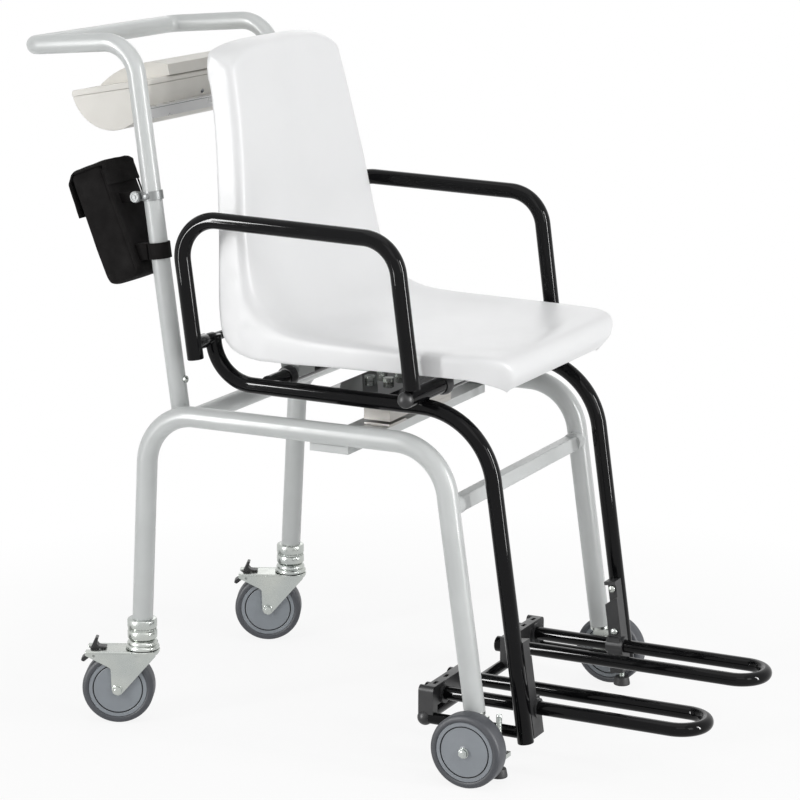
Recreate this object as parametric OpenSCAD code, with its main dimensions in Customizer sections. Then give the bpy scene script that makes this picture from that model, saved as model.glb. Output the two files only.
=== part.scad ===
// Chair scale: a wheeled chair whose seat and footrests hang on one load cell.
// +Z is up, the sitter faces -Y, the sitter's right is -X. The origin is on the floor.

/* [Side frames] */
// Outer diameter of the grey side frame tube
frame_tube_d = 28.6; // [26:0.1:31]
// Wall of the grey frame tubes
frame_wall = 2; // [1.5:0.1:3]
// Distance of each side frame's plane from the middle
frame_x = 213; // [205:1:225]
// Height of the top rail's centre line
rail_z = 444.5; // [435:0.5:455]
// Centre-line radius of the side frame's bends
frame_bend_r = 75; // [60:1:85]
// Where the rear leg's line meets the rail, behind the origin
rear_corner_y = 296; // [286:1:306]
// Where the front leg's line meets the rail, ahead of the origin
front_corner_y = 147; // [138:1:156]
// Lean of the rear legs, feet rearward
rear_leg_lean = 3.1; // [2:0.1:4]
// Lean of the front legs, feet forward
front_leg_lean = 8.2; // [7:0.1:9]
// Height of the front legs' lower ends
front_leg_end_z = 92; // [86:1:98]

/* [Push handle] */
// Outer diameter of the push handle tube
handle_tube_d = 25.4; // [22:0.1:28]
// Lean of the uprights, tops rearward
handle_lean = 7.6; // [6:0.1:9]
// Height of the uprights' lower ends
handle_foot_z = 424; // [418:1:430]
// Height where the upright's line meets the arm's line
handle_corner_z = 944; // [920:1:960]
// Distance behind the origin where these lines meet
handle_corner_y = 328; // [318:1:338]
// Length of the handle's arms, to the middle of the crossbar
handle_arm = 164.5; // [140:0.5:170]
// Fall of the arms towards the crossbar
handle_drop = 4.6; // [3:0.1:6]
// Centre-line radius of the handle's bends
handle_bend_r = 48; // [40:1:55]

/* [Seat frame] */
// Outer diameter of the black seat frame and armrest tubes
seat_tube_d = 22.2; // [20:0.1:24]
// Wall of the black tubes
seat_wall = 2; // [1.5:0.1:2.5]
// Distance of each seat frame tube from the middle
seat_tube_x = 177; // [170:1:182]
// Height of the side tubes at the rear bend's corner
seat_rail_z = 489; // [484:1:494]
// Fall of the side tubes from the rear corner to the front corner
seat_rail_fall = 4; // [2:0.5:6]
// Distance of the rear corner behind the origin
seat_rear_y = 213.5; // [208:0.5:218]
// Distance of the front corner ahead of the origin
seat_front_y = 192.5; // [186:0.5:198]
// Centre-line radius of the rear bend
seat_rear_r = 61; // [52:1:62]
// Centre-line radius of the front bend
seat_front_r = 120; // [100:1:130]
// Height of the front tubes' closed lower ends
seat_front_end_z = 49; // [46:1:54]
// Height of the seat's front cross tube
seat_cross_z = 506; // [503:0.5:509]
// Height of the seat's rear cross tube
seat_cross_rear_z = 493; // [490:0.5:498]
// Distance of the front cross tube ahead of the origin
seat_cross_front_y = 105; // [98:1:112]
// Distance of the rear cross tube behind the origin
seat_cross_rear_y = 129; // [122:1:136]

/* [Armrests] */
// Distance of each armrest from the middle
arm_x = 228; // [226:1:236]
// Height where the armrest's top line meets its rear leg's line
arm_rear_z = 720; // [700:1:735]
// Height where the top line meets the front leg's line
arm_front_z = 711.5; // [690:0.5:730]
// Distance of the rear meeting point behind the origin
arm_rear_y = 237; // [233:1:243]
// Distance of the front meeting point ahead of the origin
arm_front_y = 86.5; // [81:0.5:92]
// Height of the armrest's pivot
pivot_z = 549; // [545:0.5:553]
// Diameter of the pivot pin
pivot_pin_d = 12; // [10:0.5:13]
// Centre-line radius of the armrest's bends
arm_bend_r = 52; // [44:1:58]

/* [Seat shell] */
// Length of the shell from its front lip to its back's rear
shell_len = 460; // [440:1:468]
// Height of the shell from its front lip to its top
shell_h = 433; // [400:1:450]
// Full width of the shell at the seat
shell_w = 410; // [380:1:414]
// Wall of the shell
shell_t = 4; // [3:0.5:5]
// Height of the front lip's lower edge
shell_low_z = 510; // [508:0.5:513]
// Distance of the front lip ahead of the origin
shell_front_y = 228; // [222:1:234]
// Depth of the hollow in the middle of the seat and back
shell_dish = 12; // [6:1:16]

/* [Wheels] */
// Diameter of all four wheels
wheel_d = 100; // [96:1:104]
// Width of a rear wheel's tyre
rear_wheel_w = 32; // [26:1:34]
// Width of a front wheel's tyre
front_wheel_w = 28; // [24:1:30]
// Distance of the front axle ahead of the origin
front_axle_y = 203; // [198:1:208]
// Distance of the swivel axes behind the origin
swivel_y = 313; // [308:1:318]
// Distance from the swivel axis to the caster's axle
caster_trail = 34; // [28:1:38]
// Turn of the casters about their swivel axes, as parked
caster_turn = 25; // [0:1:40]

/* [Footrests] */
// Diameter of the footrest rods
rod_d = 18.6; // [16:0.1:20]
// Height of the rods
rod_z = 88; // [84:1:92]
// Distance of the outer rod from the middle
rod_outer_x = 149.6; // [146:0.1:152]
// Distance of the inner rod from the middle
rod_inner_x = 78.4; // [74:0.1:84]
// Distance of the footrest's tip ahead of the origin, to the rod's centre line
footrest_tip_y = 482; // [456:1:496]
// Distance of the rods' rear ends ahead of the origin
rod_rear_y = 96; // [90:1:98]

/* [Weighing unit] */
// Length of the load cell
cell_len = 190; // [170:1:200]
// Width and height of the load cell
cell_side = 40; // [36:1:44]
// Distance of the load cell's middle line behind the origin
cell_y = 7; // [4:1:12]

/* [Display] */
// Diameter of the display head's round body
head_d = 124; // [116:1:128]
// Full width of the display head
head_w = 338; // [320:1:342]
// Height of the middle of the head's top face
head_z = 881; // [876:1:884]
// Distance of the middle of the head's top face behind the origin
head_y = 377; // [374:1:382]
// Tilt of the top face towards the person behind the chair
head_tilt = 10.2; // [6:0.2:13]
// Width of the raised hood
hood_w = 230; // [200:1:250]

/* [Pouch] */
// Width of the pouch
pouch_w = 80; // [70:1:84]
// Depth of the pouch
pouch_d = 54; // [44:1:58]
// Height of the pouch
pouch_h = 160; // [140:1:164]

/* [Hidden] */
$fn = 48;

// One overrun for every cut
over = 1;
// Gap between curved faces of pieces that may move past each other
clearance = 0.3;
// Radial gap of a pin that turns in its bore
running = 0.05;
// A bend is this much fatter than its straight runs, which reach into it by the lap
bend_swell = 0.2;
bend_lap = 0.5;
grey = [0.78, 0.80, 0.80];
black = [0.06, 0.06, 0.06];
rubber = [0.12, 0.12, 0.12];
zinc = [0.75, 0.77, 0.76];
cream = [0.90, 0.89, 0.86];
cloth = [0.08, 0.07, 0.08];

// Unit vectors, corners and tangent lengths of a flat path of points
function way(p, i) = (p[i + 1] - p[i]) / norm(p[i + 1] - p[i]);
function bearing(v) = atan2(v.y, v.x);
function turn(p, i) = let (a = way(p, i - 1), b = way(p, i))
    atan2(a.x * b.y - a.y * b.x, a.x * b.x + a.y * b.y);
function tangent(p, r, i) = i == 0 || i == len(p) - 1 ? 0 : r[i - 1] * tan(abs(turn(p, i)) / 2);

module ring_2d(d, bore) {
    difference() {
        circle(d = d);
        if (bore > 0)
            circle(d = bore);
    }
}

// A round tube along a flat path, bent at each inner corner; r holds the bend radii
module bent_tube(p, r, d, bore = 0) {
    for (i = [0 : len(p) - 2]) {
        u = way(p, i);
        lap_in = i > 0 ? bend_lap : 0;
        lap_out = i < len(p) - 2 ? bend_lap : 0;
        start = p[i] + u * (tangent(p, r, i) - lap_in);
        run = norm(p[i + 1] - p[i]) - tangent(p, r, i) - tangent(p, r, i + 1)
            + lap_in + lap_out;
        translate([start.x, start.y, 0])
            rotate([0, 0, bearing(u)])
                rotate([0, 90, 0])
                    linear_extrude(run)
                        ring_2d(d, bore);
    }
    for (i = [1 : len(p) - 2]) {
        u = way(p, i - 1);
        bend = turn(p, i);
        side = sign(bend);
        start = p[i] - u * tangent(p, r, i);
        middle = start + side * r[i - 1] * [-u.y, u.x];
        first = bearing(u) - side * 90;
        translate([middle.x, middle.y, 0])
            rotate([0, 0, bend > 0 ? first : first + bend])
                rotate_extrude(angle = abs(bend))
                    translate([r[i - 1], 0])
                        ring_2d(d + bend_swell, bore > 0 ? bore - bend_swell : 0);
    }
}

// Turns a drawing in the XY plane up into the YZ plane, and an extrusion into one along X
module upright() {
    rotate([90, 0, 90])
        children();
}

// Both sides of a pair; the mirror keeps the left a true copy of the right
module pair() {
    children();
    mirror([1, 0, 0])
        children();
}

module left_of() {
    mirror([1, 0, 0])
        children();
}

// A bar along X from x = a to x = b, at one place in the YZ plane
module along_x(a, b, y, z, d) {
    translate([a, y, z])
        rotate([0, 90, 0])
            cylinder(d = d, h = b - a);
}

module along_y(x, a, b, z, d) {
    translate([x, b, z])
        rotate([90, 0, 0])
            cylinder(d = d, h = b - a);
}

module box(low, high) {
    translate(low)
        cube(high - low);
}

// Hexagon head or nut across its flats, along Z
module hex(flats, h) {
    cylinder(d = flats / cos(30), h = h, $fn = 6);
}

// Side frames

rear_foot_z = 148;
frame_inner_x = frame_x - frame_tube_d / 2;
front_leg_y = function (z) -front_corner_y - (rail_z - z) * tan(front_leg_lean);
frame_path = [
    [rear_corner_y + (rail_z - rear_foot_z) * tan(rear_leg_lean), rear_foot_z],
    [rear_corner_y, rail_z],
    [-front_corner_y, rail_z],
    [front_leg_y(front_leg_end_z), front_leg_end_z]];

module side_frame(bore) {
    translate([-frame_x, 0, 0])
        upright()
            bent_tube(frame_path, [frame_bend_r, frame_bend_r], frame_tube_d, bore);
}

module side_frame_right() {
    color(grey)
        side_frame(frame_tube_d - 2 * frame_wall);
}

module side_frame_left() {
    color(grey)
        left_of()
            side_frame(frame_tube_d - 2 * frame_wall);
}

rear_cross_y = 224;
rear_cross_d = 25.4;

module rear_cross_tube() {
    color(grey)
        difference() {
            along_x(-frame_x, frame_x, rear_cross_y, rail_z, rear_cross_d);
            along_x(-frame_x - over, frame_x + over, rear_cross_y, rail_z,
                rear_cross_d - 2 * frame_wall);
            pair()
                side_frame(0);
        }
}

front_bar_z = 364;
front_bar_side = 20;
front_bar_cup_d = 27;
front_bar_cup_l = 24;

module front_cross_bar() {
    y = front_leg_y(front_bar_z);
    color(grey)
        difference() {
            translate([0, y, front_bar_z])
                rotate([-front_leg_lean, 0, 0])
                    union() {
                        cube([2 * frame_x, front_bar_side, front_bar_side], center = true);
                        pair()
                            along_x(-frame_x, -frame_inner_x + front_bar_cup_l / 2, 0, 0,
                                front_bar_cup_d);
                    }
            pair()
                side_frame(0);
        }
}

channel_w = 58;
channel_h = 12.5;
channel_t = 3;
// The side tubes' undersides are let into the channel's top by this much
channel_seat = 0.3;
channel_top_z = rail_z - frame_tube_d / 2 + channel_seat;
// The lower channel's middle lies this far behind the load cell's
channel_behind = 11;
channel_y = cell_y + channel_behind;

// Flat top with a flange down each side, below the X axis
module channel_2d(w, h, t) {
    difference() {
        translate([-w / 2, -h])
            square([w, h]);
        translate([-w / 2 + t, -h - over])
            square([w - 2 * t, h - t + over]);
    }
}

module lower_channel() {
    color(grey)
        difference() {
            translate([-frame_x, channel_y, channel_top_z])
                upright()
                    linear_extrude(2 * frame_x)
                        channel_2d(channel_w, channel_h, channel_t);
            pair()
                side_frame(0);
        }
}

// Push handle

handle_wall = 2;
handle_x = frame_inner_x - handle_tube_d / 2 - bend_swell;
handle_foot_y = handle_corner_y - (handle_corner_z - handle_foot_z) * tan(handle_lean);
upright_y = function (z) handle_corner_y - (handle_corner_z - z) * tan(handle_lean);
arm_dir = [cos(handle_drop), -sin(handle_drop)];
// The upright's half and the crossbar's half of the handle meet here, along the arm
handle_joint = handle_bend_r + frame_wall;
handle_plan_r = 20;

module push_handle() {
    bore = handle_tube_d - 2 * handle_wall;
    corner = [handle_corner_y, handle_corner_z];
    color(grey)
        union() {
            pair()
                translate([-handle_x, 0, 0])
                    upright()
                        bent_tube([[handle_foot_y, handle_foot_z], corner,
                            corner + arm_dir * handle_joint], [handle_bend_r],
                            handle_tube_d, bore);
            translate([0, handle_corner_y, handle_corner_z])
                rotate([-handle_drop, 0, 0])
                    bent_tube([[-handle_x, handle_joint], [-handle_x, handle_arm],
                        [handle_x, handle_arm], [handle_x, handle_joint]],
                        [handle_plan_r, handle_plan_r], handle_tube_d, bore);
            // Weld rings close the joint between the two halves
            pair()
                translate([-handle_x, handle_corner_y, handle_corner_z])
                    rotate([-handle_drop, 0, 0])
                        translate([0, handle_joint, 0])
                            rotate([90, 0, 0])
                                linear_extrude(2 * bend_lap, center = true)
                                    ring_2d(handle_tube_d + bend_swell, bore - bend_swell);
        }
}

// Load cell between the lower channel on the frame and the upper channel under the seat

cell_gap = 8;
cell_z = channel_top_z + cell_gap;
cell_top = cell_z + cell_side;
cell_foot = 50;
cell_hole_d = 22;
cell_hole_x = 17;
top_spacer = 9.5;
stop_t = 4;
cell_slot = 7;

module load_cell() {
    color([0.80, 0.78, 0.75])
        difference() {
            box([-cell_len / 2, cell_y - cell_side / 2, cell_z],
                [cell_len / 2, cell_y + cell_side / 2, cell_top]);
            for (side = [-1, 1])
                along_y(side * cell_hole_x, cell_y - cell_side, cell_y + cell_side,
                    cell_z + cell_side / 2, cell_hole_d);
            box([-cell_hole_x, cell_y - cell_side, cell_z + cell_side / 2 - cell_slot / 2],
                [cell_hole_x, cell_y + cell_side, cell_z + cell_side / 2 + cell_slot / 2]);
        }
}

// The spacer under the fixed end, the stop under the free end and the spacer on top of it
module overload_stop() {
    floor_z = channel_top_z;
    color([0.78, 0.76, 0.74])
        union() {
            box([cell_len / 2 - cell_foot, cell_y - cell_side / 2, floor_z],
                [cell_len / 2, cell_y + cell_side / 2, cell_z]);
            box([-cell_len / 2, cell_y - cell_side / 2, floor_z],
                [-cell_len / 2 + cell_foot, cell_y + cell_side / 2, floor_z + stop_t]);
            box([-cell_len / 2, cell_y - cell_side / 2, cell_top],
                [-cell_len / 2 + cell_foot, cell_y + cell_side / 2, cell_top + top_spacer]);
        }
}

// Display head between the uprights

bar_z = 847;
bar_h = 16;
bar_d = 12;
cover_t = 8;
head_wall = 2.5;
hood_t = 3;
hood_front = 64;
hood_rear = 50;
hood_peak_u = 22;
hood_peak = 22;
hood_r = (pow(hood_rear + hood_peak_u, 2) + pow(hood_peak, 2)) / (2 * hood_peak);
window_w = 120;
window_l = 26;
window_u = 0;
key_d = 12;
key_pitch = 30;
key_u = 28;
key_up = 1.5;
key_h = 7;

// The head's own axes: X across, Y rearward along the top face, Z out of the top face
module head_frame() {
    translate([0, head_y, head_z])
        rotate([-head_tilt, 0, 0])
            children();
}

module display_bar() {
    y = upright_y(bar_z);
    tab_w = 24;
    tab_t = 3;
    color([0.74, 0.74, 0.78])
        difference() {
            union() {
                box([-handle_x, y - bar_d / 2, bar_z - bar_h / 2],
                    [handle_x, y + bar_d / 2, bar_z + bar_h / 2]);
                for (side = [-1, 1])
                    box([side * head_w / 3 - tab_w / 2, y + bar_d / 2, bar_z - tab_t / 2],
                        [side * head_w / 3 + tab_w / 2, head_y, bar_z + tab_t / 2]);
            }
            pair()
                translate([-handle_x, 0, 0])
                    upright()
                        bent_tube([[handle_foot_y, handle_foot_z],
                            [handle_corner_y, handle_corner_z]], [], handle_tube_d);
            head_frame()
                rotate([0, 90, 0])
                    cylinder(d = head_d, h = head_w, center = true);
        }
}

module head_d_shape(d, w, top) {
    intersection() {
        rotate([0, 90, 0])
            cylinder(d = d, h = w, center = true);
        box([-w, -d, -d], [w, d, top]);
    }
}

module display_tray() {
    color(cream)
        head_frame()
            difference() {
                head_d_shape(head_d, head_w, -cover_t);
                head_d_shape(head_d - 2 * head_wall, head_w - 2 * head_wall, over);
            }
}

module display_cover() {
    color(cream)
        head_frame()
            difference() {
                box([-head_w / 2, -head_d / 2, -cover_t], [head_w / 2, head_d / 2, 0]);
                box([-head_w / 2 + head_wall, -head_d / 2 + head_wall, -cover_t - over],
                    [head_w / 2 - head_wall, head_d / 2 - head_wall, -head_wall]);
            }
}

module hood_2d(inset) {
    intersection() {
        translate([-hood_peak_u, hood_peak - hood_r])
            circle(r = hood_r - inset, $fn = 96);
        translate([-hood_front + inset, 0])
            square([hood_front + hood_rear - 2 * inset, hood_peak]);
    }
}

// Height and slope of the hood's top at a distance u behind the head's middle
function hood_top(u) = hood_peak - hood_r + sqrt(pow(hood_r, 2) - pow(u + hood_peak_u, 2));
function hood_slope(u) = asin((u + hood_peak_u) / hood_r);

module on_hood(u, x = 0) {
    translate([x, u, hood_top(u)])
        rotate([-hood_slope(u), 0, 0])
            children();
}

module display_hood() {
    color(cream)
        head_frame()
            difference() {
                translate([-hood_w / 2, 0, 0])
                    upright()
                        linear_extrude(hood_w)
                            hood_2d(0);
                translate([-hood_w / 2 + hood_t, 0, -over])
                    upright()
                        linear_extrude(hood_w - 2 * hood_t)
                            hood_2d(hood_t);
                on_hood(window_u)
                    cube([window_w, window_l, 4 * hood_t], center = true);
                for (x = [-key_pitch, 0, key_pitch])
                    on_hood(key_u, x)
                        translate([0, 0, -key_h])
                            cylinder(d = key_d + 2 * clearance, h = 2 * key_h);
            }
}

module display_window() {
    gap = clearance / 2;
    color([0.35, 0.38, 0.36, 0.6])
        head_frame()
            on_hood(window_u)
                translate([0, 0, -hood_t])
                    box([-window_w / 2 + gap, -window_l / 2 + gap, 0],
                        [window_w / 2 - gap, window_l / 2 - gap, hood_t - clearance]);
}

module key(x) {
    color([0.35, 0.37, 0.40])
        head_frame()
            on_hood(key_u, x)
                translate([0, 0, key_up - key_h])
                    cylinder(d = key_d, h = key_h);
}

module key_left() {
    key(-key_pitch);
}

module key_middle() {
    key(0);
}

module key_right() {
    key(key_pitch);
}

board_t = 1.6;
board_w = 150;
board_l = 70;
board_u = -5;
board_post = 1.9;
board_post_d = 8;

// Stands on four short posts on the cover, just under the keys' stems
module circuit_board() {
    low = [-board_w / 2, board_u - board_l / 2];
    color([0.10, 0.35, 0.18])
        head_frame()
            union() {
                box([low.x, low.y, board_post], [-low.x, low.y + board_l,
                    board_post + board_t]);
                for (x = [low.x + board_post_d, -low.x - board_post_d],
                    y = [low.y + board_post_d, low.y + board_l - board_post_d])
                    translate([x, y, 0])
                        cylinder(d = board_post_d, h = board_post);
            }
}

battery_d = 14.5;
battery_l = 50;
battery_n = 6;

// Six cells side by side, resting on the bottom of the tray
module battery_pack() {
    inner_r = head_d / 2 - head_wall;
    color([0.30, 0.30, 0.55])
        head_frame()
            for (i = [0 : battery_n - 1])
                translate([(i % 3 - 1) * (battery_l + over), (floor(i / 3) - 0.5)
                    * (battery_d + over), -sqrt(pow(inner_r - battery_d / 2 - clearance, 2)
                    - pow((battery_d + over) / 2, 2))])
                    rotate([0, 90, 0])
                        cylinder(d = battery_d, h = battery_l, center = true);
}

// Accessory pouch on the right upright

pouch_x = -172;
pouch_y = 361;
pouch_z = 694.5;
pouch_lean = 21;
flap_t = 2;
flap_drop = 62;
flap_front = 24;
strap_z = 664;
strap_h = 22;
strap_t = 2.5;
strap_reach = 20;
clamp_z = 738;
clamp_h = 12;
clamp_t = 2;

module pouch_frame() {
    translate([pouch_x, pouch_y, pouch_z])
        rotate([-pouch_lean, 0, 0])
            children();
}

module pouch() {
    color(cloth)
        pouch_frame()
            box([-pouch_w / 2, -pouch_d / 2, -pouch_h / 2],
                [pouch_w / 2, pouch_d / 2, pouch_h / 2]);
}

// The flap is sewn to the front face, passes over the top and hangs down the rear face
module pouch_flap() {
    half = pouch_w / 2 - flap_t;
    out = pouch_d / 2 + clearance;
    top = pouch_h / 2 + clearance;
    color(cloth)
        pouch_frame()
            union() {
                box([-half, -out - flap_t, top], [half, out + flap_t, top + flap_t]);
                box([-half, out, top - flap_drop], [half, out + flap_t, top]);
            }
}

module upright_ring(z, h, t, gap) {
    translate([-handle_x, upright_y(z), z])
        rotate([-handle_lean, 0, 0])
            difference() {
                cylinder(d = handle_tube_d + 2 * t + 2 * gap, h = h, center = true);
                cylinder(d = handle_tube_d + 2 * gap, h = h + over, center = true);
            }
}

module pouch_strap() {
    color(cloth)
        difference() {
            union() {
                upright_ring(strap_z, strap_h, strap_t, clearance);
                translate([-handle_x, upright_y(strap_z), strap_z])
                    rotate([-handle_lean, 0, 0])
                        box([-handle_tube_d / 2, handle_tube_d / 2, -strap_h / 2],
                            [handle_tube_d / 2, handle_tube_d / 2 + strap_reach, strap_h / 2]);
            }
            pouch_frame()
                box([-pouch_w, -pouch_d / 2 - clearance, -pouch_h],
                    [pouch_w, pouch_h, pouch_h]);
            translate([-handle_x, upright_y(strap_z), strap_z])
                rotate([-handle_lean, 0, 0])
                    cylinder(d = handle_tube_d + 2 * clearance, h = 2 * strap_h, center = true);
        }
}

clamp_ear = 40;
clamp_ear_t = 3;
knob_d = 15;
knob_t = 7;
knob_back = 10;

module at_clamp() {
    translate([-handle_x, upright_y(clamp_z), clamp_z])
        rotate([-handle_lean, 0, 0])
            children();
}

// A grey band round the upright; its two ears reach back to the pouch
module pouch_clamp() {
    color([0.55, 0.56, 0.56])
        difference() {
            at_clamp()
                union() {
                    cylinder(d = handle_tube_d + 2 * clamp_t, h = clamp_h, center = true);
                    box([-clamp_ear_t, 0, -clamp_h / 2], [clamp_ear_t,
                        handle_tube_d / 2 + clamp_ear, clamp_h / 2]);
                }
            at_clamp()
                cylinder(d = handle_tube_d, h = 2 * clamp_h, center = true);
            pouch_frame()
                box([-pouch_w, -pouch_d / 2 - clearance, -pouch_h],
                    [pouch_w, pouch_h, pouch_h]);
        }
}

// Rear casters

socket_d = 41.5;
socket_gap = 1.5;
socket_seat = 2;
head_top_d = 47;
head_h = 14.7;
fork_top_z = 105;
fork_t = 2.5;
fork_inner = rear_wheel_w / 2 + 2;
axle_d = 8;
stem_d = 10;
axle_z = wheel_d / 2;
caster_head_z = fork_top_z + clearance;
caster_head_top = caster_head_z + head_h;

module at_swivel() {
    translate([-frame_x, swivel_y, 0])
        children();
}

// Right caster: parked turned outboard; the left one is turned the same way
module at_caster(side) {
    translate([side * frame_x, swivel_y, 0])
        rotate([0, 0, caster_turn])
            children();
}

module caster_sockets() {
    ring_h = (rear_foot_z - caster_head_top - socket_gap) / 2;
    color(zinc)
        pair()
            difference() {
                at_swivel()
                    difference() {
                        union() {
                            translate([0, 0, caster_head_top])
                                cylinder(d = socket_d - 2 * socket_gap,
                                    h = rear_foot_z - caster_head_top);
                            translate([0, 0, caster_head_top])
                                cylinder(d = socket_d, h = ring_h);
                            translate([0, 0, rear_foot_z - ring_h])
                                cylinder(d = socket_d, h = ring_h + socket_seat);
                        }
                        translate([0, 0, caster_head_top - over])
                            cylinder(d = stem_d + 2 * running, h = rear_foot_z);
                    }
                side_frame(0);
            }
}

module caster_heads() {
    lip = 4;
    color(zinc)
        pair()
            at_swivel()
                translate([0, 0, caster_head_z])
                    difference() {
                        union() {
                            cylinder(d = head_top_d, h = head_h / 2);
                            translate([0, 0, head_h / 2])
                                cylinder(d1 = head_top_d, d2 = head_top_d - 2 * lip,
                                    h = head_h / 2);
                        }
                        translate([0, 0, -over])
                            cylinder(d = stem_d + 2 * running, h = head_h + 2 * over);
                    }
}

cheek_front = 20;
cheek_tail = 44;
cheek_edge = 4;
cheek_deep = 20;
cheek_r = 8;
plate_w = 48;

// Cheek outline in the caster's YZ plane, from the crown down to the axle
module cheek_2d() {
    top = fork_top_z;
    rear = caster_trail + cheek_r;
    translate([caster_trail, axle_z])
        circle(r = cheek_r);
    polygon([[-cheek_front, top], [caster_trail + cheek_tail, top],
        [caster_trail + cheek_tail, top - cheek_edge], [rear, top - cheek_deep],
        [rear, axle_z], [caster_trail - cheek_r * sin(45), axle_z - cheek_r * sin(45)],
        [-cheek_front, top - cheek_edge]]);
}

module fork() {
    slot_w = pedal_w + 2 * over;
    slot_l = 17;
    tail = caster_trail + cheek_tail;
    color(zinc)
        difference() {
            union() {
                for (side = [-1, 1])
                    translate([side > 0 ? fork_inner : -fork_inner - fork_t, 0, 0])
                        upright()
                            linear_extrude(fork_t)
                                cheek_2d();
                box([-fork_inner - fork_t, 0, fork_top_z - fork_t],
                    [fork_inner + fork_t, tail, fork_top_z]);
                translate([0, 0, fork_top_z - fork_t])
                    cylinder(d = plate_w, h = fork_t);
                translate([0, 0, fork_top_z - fork_t])
                    cylinder(d = stem_d, h = rear_foot_z - fork_top_z);
            }
            box([-slot_w / 2, tail - cheek_edge - slot_l, fork_top_z - cheek_r],
                [slot_w / 2, tail - cheek_edge, fork_top_z + over]);
            along_x(-2 * fork_inner, 2 * fork_inner, caster_trail, axle_z, axle_d);
            along_x(-2 * fork_inner, 2 * fork_inner, pedal_y, pedal_z, pedal_pin_d);
        }
}

module fork_right() {
    at_caster(-1)
        fork();
}

module fork_left() {
    at_caster(1)
        fork();
}

nut_w = 13;
nut_h = 6.5;

// Bolt through fork and wheel with its head and nut; the pedal's pin is here too
module caster_axle() {
    out = fork_inner + fork_t;
    color(zinc)
        union() {
            along_x(-out - nut_h, out + nut_h, caster_trail, axle_z, axle_d);
            for (side = [-1, 1])
                translate([side > 0 ? out : -out - nut_h, caster_trail, axle_z])
                    rotate([0, 90, 0])
                        hex(nut_w, nut_h);
            along_x(-out, out, pedal_y, pedal_z, pedal_pin_d);
        }
}

module caster_axle_right() {
    at_caster(-1)
        caster_axle();
}

module caster_axle_left() {
    at_caster(1)
        caster_axle();
}

tyre_t = 9;
rim_d = wheel_d - 2 * tyre_t;
rim_lip = 5;
hub_d = 24;

// Wheel parts lie along X about the origin
module rim(w, bore) {
    hub_w = w + over;
    web = w / 4;
    difference() {
        union() {
            rotate([0, 90, 0])
                cylinder(d = rim_d, h = w - 2 * over, center = true);
            rotate([0, 90, 0])
                cylinder(d = hub_d, h = hub_w, center = true);
        }
        for (side = [-1, 1])
            translate([side * (w / 2), 0, 0])
                rotate([0, 90, 0])
                    difference() {
                        cylinder(d = rim_d - 2 * rim_lip, h = web, center = true);
                        cylinder(d = rim_d - 3 * rim_lip, h = web, center = true);
                    }
        rotate([0, 90, 0])
            cylinder(d = bore, h = 2 * w, center = true);
    }
}

module tyre(w) {
    edge = 3;
    rotate([0, 90, 0])
        difference() {
            union() {
                cylinder(d = wheel_d, h = w - 2 * edge, center = true);
                for (side = [0, 180])
                    rotate([side, 0, 0])
                        translate([0, 0, w / 2 - edge])
                            cylinder(d1 = wheel_d, d2 = wheel_d - 2 * edge, h = edge);
            }
            cylinder(d = rim_d, h = w + over, center = true);
        }
}

module at_rear_wheel(side) {
    at_caster(side)
        translate([0, caster_trail, axle_z])
            children();
}

module rear_rim_right() {
    color([0.60, 0.63, 0.66])
        at_rear_wheel(-1)
            rim(rear_wheel_w, axle_d + 2 * running);
}

module rear_rim_left() {
    color([0.60, 0.63, 0.66])
        at_rear_wheel(1)
            rim(rear_wheel_w, axle_d + 2 * running);
}

module rear_tyre_right() {
    color([0.33, 0.34, 0.37])
        at_rear_wheel(-1)
            tyre(rear_wheel_w);
}

module rear_tyre_left() {
    color([0.33, 0.34, 0.37])
        at_rear_wheel(1)
            tyre(rear_wheel_w);
}

pedal_pin_d = 4;
pedal_y = caster_trail + cheek_tail - 12;
pedal_z = fork_top_z - 6;
pedal_w = 14;
pedal_len = 20;
// Outline about the pin: lever down and rearward, horn up, toe forward over the plate
pedal_shares = [[-0.20, -0.20], [0.20, -0.15], [0.85, -0.65], [0.95, -0.45], [0.30, 0.10],
    [0.30, 0.40], [0.15, 0.70], [-0.05, 1.15], [-0.25, 1.10], [-0.10, 0.70], [-0.30, 0.50],
    [-0.80, 0.45], [-0.80, 0.35], [-0.20, 0.30]];

// Horn above the fork and lever behind it, on a pin across the fork's tail
module brake_pedal() {
    color(black)
        translate([-pedal_w / 2, pedal_y, pedal_z])
            upright()
                linear_extrude(pedal_w)
                    difference() {
                        polygon(pedal_shares * pedal_len);
                        circle(d = pedal_pin_d + 2 * running);
                    }
}

module brake_pedal_right() {
    at_caster(-1)
        brake_pedal();
}

module brake_pedal_left() {
    at_caster(1)
        brake_pedal();
}

// Front wheels on brackets at the front legs' lower ends

wheel_gap = 1.7;
front_wheel_x = frame_x + frame_tube_d / 2 + wheel_gap + front_wheel_w / 2;
bracket_t = 8;
stud_d = 8;
stud_ahead = 30;
stud_y = front_axle_y + stud_ahead;
stud_top = 94;
foot_d = 24;
foot_low = 8;
foot_h = 12;
tab_z = 35;
tab_h = 6;
plug_h = 22;

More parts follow.
